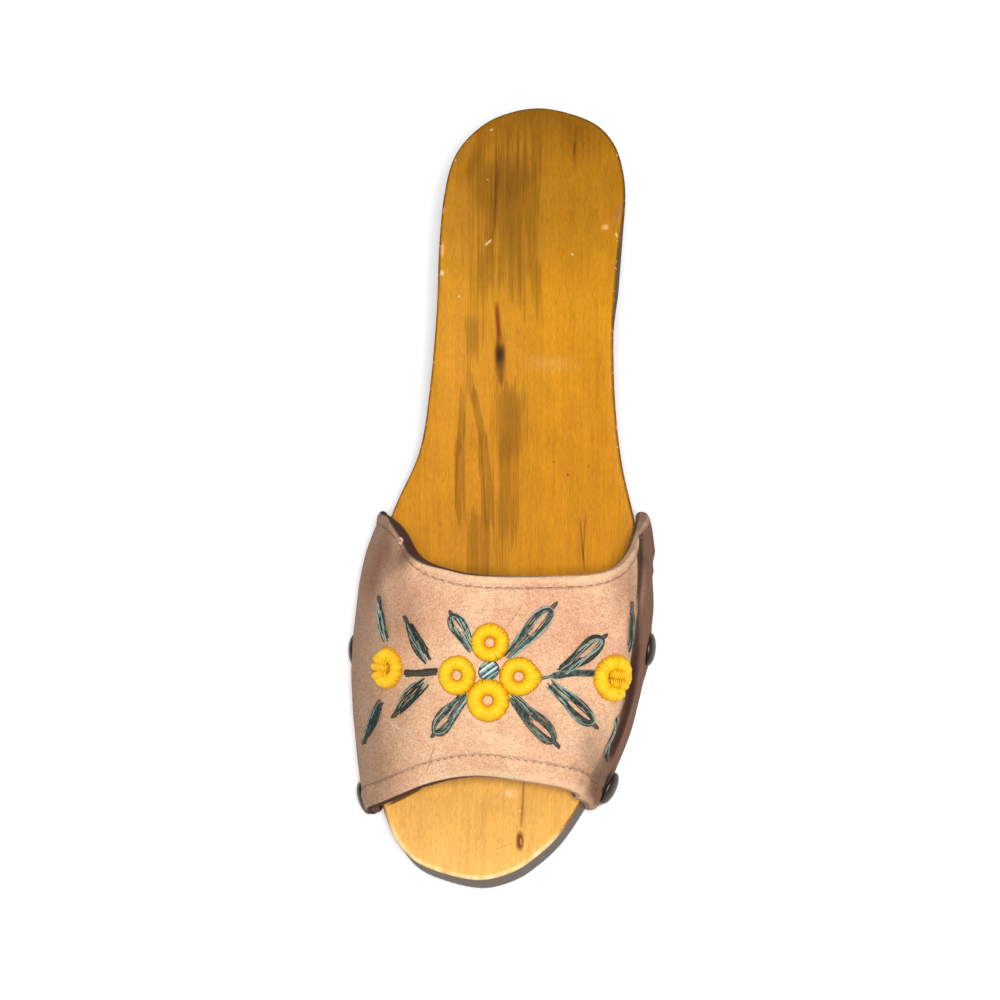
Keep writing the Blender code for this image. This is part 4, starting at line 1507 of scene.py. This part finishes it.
woodMarks = markRows(
    (
        ((250, 122), (358, 122), 15.0, "stain", 0.45, 1.00, 0.2),
        ((305, 100), (306, 296), 17.0, "stain", 0.88, 1.00, 0.3),
        ((324, 132), (328, 298), 6.8, "stain", 0.40, 0.35, 0.3),
        ((341, 228), (341, 314), 1.7, "stain", 0.45, 0.50, 0.2),
        ((284, 210), (279, 345), 6.4, "stain", 0.55, 0.90, 0.3),
        ((272, 286), (275, 344), 4.4, "stain", 0.50, 0.90, 0.3),
        ((388, 216), (386, 264), 2.4, "stain", 0.35, 0.90, 0.3),
        ((306, 350), (309, 444), 6.4, "stain", 0.85, 0.80, 0.3),
        ((318, 350), (322, 440), 7.2, "stain", 0.62, 0.90, 0.3),
        ((310, 404), (312, 526), 5.2, "stain", 0.80, 0.70, 0.3),
        ((265, 356), (262, 436), 1.5, "stain", 0.90, 0.45, 0.4),
        ((261, 408), (262, 506), 2.2, "stain", 0.95, 0.40, 0.4),
        ((269, 340), (276, 384), 2.4, "stain", 0.65, 0.80, 0.4),
        ((274, 360), (286, 424), 1.6, "stain", 0.95, 0.45, 0.4),
        ((284, 406), (292, 512), 2.4, "stain", 0.95, 0.40, 0.4),
        ((280, 478), (281, 572), 5.4, "stain", 0.95, 0.60, 0.3),
        ((303, 460), (304, 566), 3.2, "stain", 0.60, 0.90, 0.3),
        ((400, 366), (402, 434), 3.2, "stain", 0.30, 0.90, 0.3),
        ((395, 396), (397, 478), 2.8, "stain", 0.25, 0.90, 0.3),
        ((300, 128), (296, 218), 0.9, "shadeBrown", 0.70, 0.80, 0.6),
        ((297, 150), (292, 240), 2.6, "shadeBrown", 0.30, 0.90, 0.8),
        ((379, 94), (376, 150), 1.0, "shadeBrown", 0.60, 0.80, 0.8),
        ((377, 116), (376, 132), 0.6, "shadeKnotAndShadow", 0.50, 0.80, 0.8),
        ((262, 118), (300, 92), 3.6, "shadeBrown", 0.30, 0.90, 0.5),
        ((352, 90), (396, 112), 3.0, "shadeBrown", 0.25, 0.90, 0.5),
        ((259, 420), (257, 492), 0.35, "shadeBrown", 0.60, 0.80, 0.8),
        ((267, 372), (265, 430), 0.32, "shadeBrown", 0.60, 0.80, 0.8),
        ((283, 420), (288, 502), 0.32, "shadeBrown", 0.55, 0.80, 0.8),
        ((295, 430), (296, 540), 0.32, "shadeBrown", 0.60, 0.80, 0.8),
        ((301, 284), (303, 368), 3.4, "shadeBrown", 0.50, 1.00, 0.3),
        ((298, 272), (302, 324), 1.3, "shadeRust", 0.95, 0.90, 0.2),
        ((302, 314), (302, 344), 2.2, "shadeKnotAndShadow", 0.90, 0.80, 0.3),
        ((301, 306), (303, 366), 2.4, "shadeKnotAndShadow", 0.80, 0.80, 0.2),
        ((303, 342), (303, 368), 1.1, "shadeRust", 0.75, 0.90, 0.3),
        # Painted shadow on the wood in the gap under the strap's front edge.
        ((188, 783), (226, 763), 0.9, "shadeKnotAndShadow", 0.90, 0.60, 0.3),
        ((222, 764), (258, 753), 0.8, "shadeKnotAndShadow", 0.85, 0.60, 0.3),
        ((254, 753), (292, 749), 0.6, "shadeKnotAndShadow", 0.70, 0.60, 0.3),
        ((288, 749), (356, 757), 0.4, "shadeBrown", 0.60, 0.70, 0.3),
        ((382, 494), (387, 548), 0.40, "shadeBrown", 0.90, 0.60, 0.5),
        ((388, 488), (385, 538), 0.34, "shadeBrown", 0.75, 0.60, 0.5),
        ((370, 449), (370, 453), 0.45, "shadeKnotAndShadow", 0.60, 0.60, 0.0),
        ((356, 436), (356, 440), 0.40, "shadeKnotAndShadow", 0.50, 0.60, 0.0),
        ((391, 440), (391, 444), 0.40, "shadeKnotAndShadow", 0.50, 0.60, 0.0),
        ((325, 742), (324, 814), 1.6, "shadeBrown", 0.35, 0.90, 0.6),
        ((326, 756), (323, 811), 0.45, "shadeBrown", 0.85, 0.60, 0.5),
        ((322, 805), (322, 830), 1.45, "shadeBrown", 0.95, 0.40, 0.0),
        ((322, 809), (322, 826), 1.00, "shadeKnotAndShadow", 0.65, 0.40, 0.0),
        ((323, 813), (323, 823), 0.42, "pink", 0.50, 0.60, 0.0),
        ((293, 828), (318, 818), 0.24, "shadeBrown", 0.50, 0.80, 0.2),
        # A pinkish grey band along the lateral heel edge: painted shade on the rounded edge.
        ((424, 136), (421, 256), 0.9, "rim", 0.65, 0.80, 0.4),
        # A faint pale streak across the waist: a painted glint on the varnish.
        ((316, 336), (392, 342), 3.4, "pale", 0.08, 1.00, 0.5),
        ((302, 769), (321, 771), 1.9, "pale", 0.55, 0.90, 0.5),
        ((308, 768), (318, 770), 0.9, "pink", 0.45, 0.90, 0.4),
        ((321, 787), (323, 788), 0.35, "pale", 0.70, 0.60, 0.0),
        ((286, 221), (294, 214), 0.45, "pale", 0.55, 0.60, 0.3),
        ((291, 105), (296, 103), 0.40, "pale", 0.40, 0.60, 0.3),
        ((289, 153), (290, 155), 0.36, "pale", 0.35, 0.60, 0.0),
        ((373, 229), (376, 231), 0.42, "pale", 0.50, 0.60, 0.0),
        ((403, 204), (412, 202), 1.3, "pink", 0.60, 0.70, 0.4),
        ((418, 208), (420, 214), 0.40, "pale", 0.60, 0.60, 0.0),
        ((245, 180), (244, 190), 0.8, "pink", 0.80, 0.60, 0.6),
        ((244, 214), (243, 236), 0.9, "pink", 0.85, 0.60, 0.8),
        ((243, 243), (244, 252), 0.7, "pale", 0.85, 0.60, 0.6),
        ((259, 272), (262, 271), 0.5, "pale", 0.40, 0.60, 0.0),
    )
)


# How much stain there is, torn by the grain.
def stainDensity(tree, place, surface, noises, streaks):
    density = 0.0
    for name, share in woodFinish["tears"]:
        torn = calc(tree, "MULTIPLY_ADD", noises[name], share, -0.5 * share)
        density = calc(tree, "ADD", density, torn)
    for mark in woodMarks:
        if mark["tint"] == "stain":
            density = calc(tree, "ADD", density, markMask(tree, place, surface, mark, streaks))
    return density


def woodMaterial(surface):
    material, tree, shader = newMaterial("varnishedWood")
    place = millimetres(tree)
    parts = put(tree, "ShaderNodeSeparateXYZ", {0: place}).outputs
    depth = attributeOf(tree, "depth")
    inset = attributeOf(tree, "inset")
    inputs = {"X": parts["X"], "Y": parts["Y"], "Z": depth}
    follow = put(tree, "ShaderNodeCombineXYZ", inputs).outputs[0]  # grain that follows the footbed
    turn = (0.0, 0.0, -math.radians(photo["azimuth"]))
    lengthwise = put(tree, "ShaderNodeMapping", {"Vector": follow, "Rotation": turn}).outputs[0]
    patches = useGroup(tree, mottle, {"Vector": lengthwise, "Broad Scale": 0.09, "Fine Scale": 0.8})
    noises = {"patches": patches["Broad"]}
    for name, (stretch, detail, roughness) in woodFinish["noises"].items():
        noises[name] = noise(tree, stretched(tree, lengthwise, stretch), 1.0, detail, roughness)
    grain = noises["grain"]

    def zone(name, value):
        return ease(tree, value, *woodZones[name])

    streaks = zone("streaks", grain)
    uneven = calc(tree, "SUBTRACT", streaks, 0.5)
    ragged = calc(tree, "MULTIPLY_ADD", uneven, woodFinish["ragged"], parts["Y"])
    colour = toneRamp(tree, ragged, woodFinish["tones"])
    lateral = times(tree, zone("lateralAcross", parts["X"]), zone("lateralAlong", parts["Y"]))
    colour = blendColours(tree, lateral, colour, woodFinish["lateral"], "MULTIPLY")
    for name, low, share in woodFinish["layers"]:
        tone = calc(tree, "MULTIPLY_ADD", noises[name], share, low)
        grey = put(tree, "ShaderNodeCombineColor", {0: tone, 1: tone, 2: tone}).outputs[0]
        colour = blendColours(tree, 1.0, colour, grey, "MULTIPLY")
    dashes = times(tree, zone("pores", noises["pores"]), woodFinish["poreShare"])
    colour = blendColours(tree, dashes, colour, woodFinish["shadeBrown"], "MULTIPLY")
    density = stainDensity(tree, place, surface, noises, streaks)
    for tint in ("stain", "deepStain"):
        colour = blendColours(tree, zone(tint, density), colour, woodFinish[tint], "MULTIPLY")
    for mark in woodMarks:
        if mark["tint"] != "stain":
            mode = "MULTIPLY" if mark["tint"].startswith("shade") else "MIX"
            mask = markMask(tree, place, surface, mark, streaks)
            colour = blendColours(tree, mask, colour, woodFinish[mark["tint"]], mode)
    atToe = zone("toe", parts["Y"])
    # Painted shade: a thin, broken dark line along the sole's rounded side edges, not at the toe.
    line = times(tree, zone("edgeShadeLine", inset), calc(tree, "SUBTRACT", 1.0, atToe))
    broken = times(tree, patches["Broad"], woodFinish["lineShare"], clamp=True)
    line = times(tree, line, broken)
    colour = blendColours(tree, line, colour, woodFinish["edgeShadeLine"], "MULTIPLY")
    atRim = times(tree, zone("rimInset", inset), zone("rimDepth", depth))
    chipped = times(tree, zone("chips", patches["Fine"]), woodFinish["chipShare"])
    bare = times(tree, atToe, zone("bareToe", noises["blotches"]))
    chipped = calc(tree, "MAXIMUM", chipped, bare)
    colour = blendColours(tree, times(tree, atRim, chipped), colour, woodFinish["pale"])
    # The sole's wall: a taupe toe wall and a dark side wall, partly a stain and partly painted shade where
    # the sides turn away from the light. It starts on the rounded rim, so a thin line of painted shade
    # shows along the top edge.
    along = zone("wallAlong", parts["Y"])
    wall = blendColours(tree, along, woodFinish["wallFront"], woodFinish["wallSide"])
    veined = times(tree, grain, woodFinish["veinShare"])
    wall = blendColours(tree, veined, wall, woodFinish["shadeBrown"], "MULTIPLY")
    colour = blendColours(tree, zone("wallDepth", depth), colour, wall)
    tree.links.new(colour, shader.inputs["Base Color"])
    tree.links.new(calc(tree, "MULTIPLY_ADD", grain, 0.25, 0.55), shader.inputs["Roughness"])
    height = calc(tree, "SUBTRACT", times(tree, noises["fibres"], 0.6), dashes)
    relief(tree, shader, height, strength=0.3, distance=0.2)
    setShader(shader, {"Specular IOR Level": 0.1, "Coat Weight": 0.02, "Coat Roughness": 0.3})
    return material


suedeFinish = {
    "nap": srgb(236, 192, 156),
    "rubbed": srgb(244, 208, 171),
    "soil": srgb(192, 150, 132),
    "sideMedial": srgb(162, 137, 116),
    "sideLateral": srgb(130, 90, 68),
    "cream": srgb(252, 224, 184),
    "salmon": srgb(234, 178, 140),
    "mauve": srgb(146, 106, 82),
    "rose": srgb(168, 116, 100),
    "gold": srgb(214, 188, 152),
    "taupe": srgb(138, 120, 99),
    "umber": srgb(104, 70, 54),
    "dark": srgb(52, 28, 18),
    "lining": srgb(84, 54, 38),
    "liningWorn": srgb(112, 76, 56),
    "raw": srgb(150, 112, 88),
    "rawWorn": srgb(176, 136, 110),
    "napStretch": (0.5, 1.4, 0.9),
    "soils": (  # where each noise begins and ends, and its strength
        ("clouds", 0.40, 0.68, 0.14),
        ("spots", 0.38, 0.66, 0.24),
        ("specks", 0.36, 0.64, 0.54),
        ("brushed", 0.40, 0.70, 0.28),
    ),
    "medialShare": 0.8,
    "lateralShare": 0.9,
    "creaseShadeShare": 0.92,
    "lipShare": 0.28,
    "groove": (3.0, -0.3),
    "cornerWidth": (2.2, 0.75),
    "turned": (0.55, 0.4),
}
suedeZones = {  # where each zone begins and where it is full: a side is -1 or 1, edges are millimetres
    "rubbed": (0.35, 0.65),
    "medial": (-0.34, -0.62),
    "lateral": (0.50, 0.64),
    "aloft": (0.76, 0.68),
    "lip": (3.4, 1.4),
    "lipSide": (-0.42, -0.2),
    "cornerStart": (-0.62, -0.44),
    "cornerEnd": (-0.2, -0.4),
    "under": (1.1, 0.6),
    "turned": (0.2, -0.2),
}
suedeMarks = markRows(
    (
        ((272, 560), (288, 745), 15.0, "cream", 0.85, 1.0, 0.5),
        ((392, 560), (378, 660), 10.0, "salmon", 0.50, 1.0, 0.6),
        ((300, 700), (300, 744), 13.0, "cream", 0.60, 1.0, 0.4),
        ((270, 572), (340, 574), 6.0, "cream", 0.45, 1.0, 0.4),
        ((232, 757), (340, 757), 4.6, "gold", 0.80, 0.9, 0.5),
        # The mauve, umber, rose and taupe marks darken the strap's sides and corners: partly the suede's
        # tone, partly painted shade.
        ((212, 540), (200, 650), 10.0, "mauve", 0.50, 1.0, 0.2),
        ((205, 640), (206, 720), 7.0, "mauve", 0.30, 1.0, 0.3),
        ((180, 486), (208, 550), 6.5, "umber", 0.80, 1.0, 0.5),
        ((172, 520), (178, 590), 5.0, "umber", 0.45, 1.0, 0.9),
        ((446, 488), (450, 550), 4.0, "umber", 0.60, 1.0, 0.5),
        ((186, 495), (180, 570), 7.0, "mauve", 0.70, 1.0, 0.3),
        ((168, 530), (166, 590), 3.0, "rose", 0.60, 1.0, 0.8),
        ((196, 690), (212, 765), 7.0, "gold", 0.55, 1.0, 0.9),
        ((180, 700), (186, 770), 5.0, "mauve", 0.45, 1.0, 1.0),
        ((402, 716), (398, 782), 6.0, "taupe", 0.80, 1.0, 0.7),
        ((400, 690), (386, 752), 6.5, "taupe", 0.40, 1.0, 0.9),
        ((424, 515), (424, 610), 5.5, "mauve", 0.50, 1.0, 0.7),
        ((329, 574), (307, 606), 0.22, "dark", 0.55, 0.8, 0.6),
        ((180, 692), (205, 709), 0.20, "cream", 0.55, 0.8, 0.4),
        ((236, 722), (228, 748), 0.25, "dark", 0.45, 0.8, 0.9),
    )
)


def suedeMaterial(surface):
    material, tree, shader = newMaterial("pinkSuede")
    place = millimetres(tree)
    patches = useGroup(tree, mottle, {"Vector": place, "Broad Scale": 0.07, "Fine Scale": 1.3})
    clouds = useGroup(tree, mottle, {"Vector": place, "Broad Scale": 0.25, "Fine Scale": 3.2})
    brushed = noise(tree, stretched(tree, place, suedeFinish["napStretch"]), 1.0, detail=4.0, roughness=0.7)
    noises = {
        "clouds": clouds["Broad"],
        "spots": patches["Fine"],
        "specks": clouds["Fine"],
        "brushed": brushed,
    }
    side = attributeOf(tree, "side")
    edge = attributeOf(tree, "edge")

    def zone(name, value):
        return ease(tree, value, *suedeZones[name])

    broad = zone("rubbed", patches["Broad"])
    colour = blendColours(tree, broad, suedeFinish["nap"], suedeFinish["rubbed"])
    # Mauve and brown sides: partly the suede's tone, partly painted shade where the strap's sides turn away
    # from the light.
    medial = times(tree, zone("medial", side), suedeFinish["medialShare"])
    colour = blendColours(tree, medial, colour, suedeFinish["sideMedial"])
    lateral = times(tree, zone("lateral", side), suedeFinish["lateralShare"])
    colour = blendColours(tree, lateral, colour, suedeFinish["sideLateral"])
    aloft = zone("aloft", side)  # the marks stop short of the lateral foot
    for mark in suedeMarks:
        mask = times(tree, markMask(tree, place, surface, mark, broad), aloft)
        colour = blendColours(tree, mask, colour, suedeFinish[mark["tint"]])
    for name, low, high, share in suedeFinish["soils"]:
        soilAndShade = times(tree, ease(tree, noises[name], low, high), share)
        colour = blendColours(tree, soilAndShade, colour, suedeFinish["soil"], "MULTIPLY")
    # Painted shade and soil in the creases, darkest down the side fold.
    shaded = times(tree, attributeOf(tree, "soilAndShade"), suedeFinish["creaseShadeShare"], clamp=True)
    colour = blendColours(tree, shaded, colour, suedeFinish["dark"])
    # Painted shade along the hem grooves, broken up by the brushed nap.
    hem = attributeOf(tree, "hem")
    crossing = times(tree, hem, calc(tree, "SUBTRACT", 1.0, hem))
    patchy = calc(tree, "MULTIPLY_ADD", brushed, *suedeFinish["groove"])
    groove = times(tree, crossing, patchy, clamp=True)
    colour = blendColours(tree, groove, colour, suedeFinish["dark"])
    lip = times(tree, zone("lip", edge), zone("lipSide", side))
    rubbed = times(tree, lip, suedeFinish["lipShare"])
    colour = blendColours(tree, rubbed, colour, suedeFinish["rubbed"])
    # Painted shadow under the strap's front and rear edges: the lip darkens towards its edge, widest at the
    # medial rear corner and darkest on the medial side.
    corner = times(tree, zone("cornerStart", side), zone("cornerEnd", side))
    corner = times(tree, corner, attributeOf(tree, "rear"))
    width = calc(tree, "MULTIPLY_ADD", corner, *suedeFinish["cornerWidth"])
    under = zone("under", calc(tree, "DIVIDE", edge, width))
    turned = calc(tree, "MULTIPLY_ADD", zone("turned", side), *suedeFinish["turned"])
    colour = blendColours(tree, times(tree, under, turned), colour, suedeFinish["dark"])
    tree.links.new(colour, shader.inputs["Base Color"])
    fibre = calc(tree, "ADD", patches["Fine"], times(tree, brushed, 0.6))
    relief(tree, shader, fibre, strength=0.8, distance=0.6)
    surfaceValues = {
        "Roughness": 0.95,
        "Specular IOR Level": 0.1,
        "Sheen Weight": 0.03,
        "Sheen Roughness": 0.5,
    }
    setShader(shader, surfaceValues)
    return material


def plainHide(name, tint, worn):
    material, tree, shader = newMaterial(name)
    patches = useGroup(tree, mottle, {"Vector": millimetres(tree), "Broad Scale": 0.1, "Fine Scale": 1.0})
    colour = blendColours(tree, ease(tree, patches["Broad"], 0.3, 0.7), tint, worn)
    tree.links.new(colour, shader.inputs["Base Color"])
    relief(tree, shader, patches["Fine"], strength=0.4, distance=0.3)
    setShader(shader, {"Roughness": 0.85})
    return material


threadFinish = {  # light and dark tones, and how much they vary along a strand
    "yellow": (srgb(250, 210, 14), srgb(198, 122, 4), 0.2),
    # The light teal and eye tones are painted highlights on glossy strands.
    "teal": (srgb(164, 188, 174), srgb(32, 43, 39), 1.0),
    "eye": (srgb(220, 240, 232), srgb(26, 76, 80), 0.7),
    "dark": (srgb(96, 90, 80), srgb(50, 46, 41), 0.4),
    "hem": (srgb(136, 96, 76), srgb(84, 54, 40), 0.2),
    "pale": (srgb(206, 168, 158), srgb(170, 130, 118), 0.3),
}


def threadMaterial(name):
    material, tree, shader = newMaterial(f"{name}Silk")
    shade = attributeOf(tree, "shade")
    patches = useGroup(tree, mottle, {"Vector": millimetres(tree), "Broad Scale": 0.9, "Fine Scale": 3.5})
    light, deep, vary = threadFinish[name]
    mixed = calc(tree, "MULTIPLY_ADD", patches["Fine"], 0.3, times(tree, shade, 0.8))
    uneven = calc(tree, "MULTIPLY_ADD", patches["Broad"], vary, -0.5 * vary)
    mixed = calc(tree, "ADD", mixed, uneven, clamp=True)
    tree.links.new(blendColours(tree, mixed, light, deep), shader.inputs["Base Color"])
    relief(tree, shader, patches["Fine"], strength=0.4, distance=0.2)
    setShader(shader, {"Roughness": 0.5, "Specular IOR Level": 0.35})
    return material


nickelFinish = (srgb(52, 47, 44), srgb(86, 80, 75))


def nickelMaterial():
    material, tree, shader = newMaterial("darkNickel")
    patches = useGroup(tree, mottle, {"Vector": millimetres(tree), "Broad Scale": 0.5, "Fine Scale": 2.0})
    colour = blendColours(tree, patches["Broad"], *nickelFinish)
    tree.links.new(colour, shader.inputs["Base Color"])
    tree.links.new(calc(tree, "MULTIPLY_ADD", patches["Fine"], 0.3, 0.3), shader.inputs["Roughness"])
    setShader(shader, {"Metallic": 1.0})
    return material


# Pale floor and soft light, nearer to the toe than to the heel.
stageSet = {
    "floorSize": 4.0,
    "floorDrop": 0.0002,
    "floor": (srgb(252, 252, 252), srgb(246, 246, 246)),
    "sky": (1.0, 0.99, 0.97, 1.0),
    "skyStrength": 0.3,
    "glow": 0.12,
    "lights": {
        "key": {"place": (0.11, -0.29, 0.86), "size": 0.16, "power": 8.0},
        "fill": {"place": (-0.4, 0.5, 1.0), "size": 0.9, "power": 1.6},
    },
    "aim": (0.0, 0.0, 0.03),
}


def makeStage():
    half = stageSet["floorSize"] / 2
    drop = -stageSet["floorDrop"]
    corners = [(-half, -half, drop), (half, -half, drop), (half, half, drop), (-half, half, drop)]
    material, tree, shader = newMaterial("paleFloor")
    patches = useGroup(tree, mottle, {"Vector": millimetres(tree), "Broad Scale": 0.01, "Fine Scale": 0.2})
    tree.links.new(blendColours(tree, patches["Broad"], *stageSet["floor"]), shader.inputs["Base Color"])
    setShader(shader, {"Roughness": 0.9, "Emission Strength": stageSet["glow"]})
    floor = newObject("floor", np.array(corners) / mm, [(0, 1, 2, 3)], [material])
    world = bpy.data.worlds.new("studio")
    world.use_nodes = True
    sky = world.node_tree.nodes["Background"].inputs
    sky["Color"].default_value = stageSet["sky"]
    sky["Strength"].default_value = stageSet["skyStrength"]
    scene.world = world
    for name, values in stageSet["lights"].items():
        light = bpy.data.lights.new(name, "AREA")
        light.size = values["size"]
        light.energy = values["power"]
        lamp = bpy.data.objects.new(name, light)
        place = Vector(values["place"])
        lamp.location = place
        lamp.rotation_euler = (place - Vector(stageSet["aim"])).to_track_quat("Z", "Y").to_euler()
        scene.collection.objects.link(lamp)
    scene.view_settings.view_transform = "Standard"


def nodeTree(name):
    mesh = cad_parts[name].data
    points = [vertex.co / mm for vertex in mesh.vertices]
    return BVHTree.FromPolygons(points, [list(face.vertices) for face in mesh.polygons])


def makeEmbroidery(cloth, threads):
    draw = random.Random(flowerPiece["seed"])
    bundles = {name: Bundle() for name in ("yellow", "eye", "teal", "dark")}
    makeFlower(cloth, bundles["yellow"], bundles["eye"], bundles["dark"], draw)
    makeBuds(cloth, bundles["yellow"], draw)
    makeLeaves(cloth, bundles["teal"], bundles["dark"], draw)
    makeStems(cloth, bundles, draw)
    replaced = {
        "yellow": [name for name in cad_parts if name.startswith(("petal", "bud"))],
        "eye": ["flower_eye"],
        "teal": [],
        "dark": [],
    }
    for name, bundle in bundles.items():
        values = {"Sides": threadSides}
        piece = grow(f"{name}Embroidery", bundle.mesh(name), threads, values, threadMaterial(name))
        if replaced[name]:
            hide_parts(*replaced[name])


makeCamera()
makeStage()
makeSole(woodMaterial(nodeTree("sole")))
# The lining's dark brown is a guess, darkened to act as painted shadow in the gap under the strap's edges.
liningHide = plainHide("shadowDarkLining", suedeFinish["lining"], suedeFinish["liningWorn"])
edgeHide = plainHide("rawEdge", suedeFinish["raw"], suedeFinish["rawWorn"])
strapParts = makeStrap(suedeMaterial(nodeTree("strap")), liningHide, edgeHide)
strapCloth = Cloth(strapParts[0])
threadTree = makeThreadTree()
makeEmbroidery(strapCloth, threadTree)
hemSilk = threadMaterial("hem")
makeSeams(*strapParts, strapCloth, makeStitchTree(), threadTree, hemSilk, threadMaterial("pale"))
makeNails(makeNailTree(), nickelMaterial())
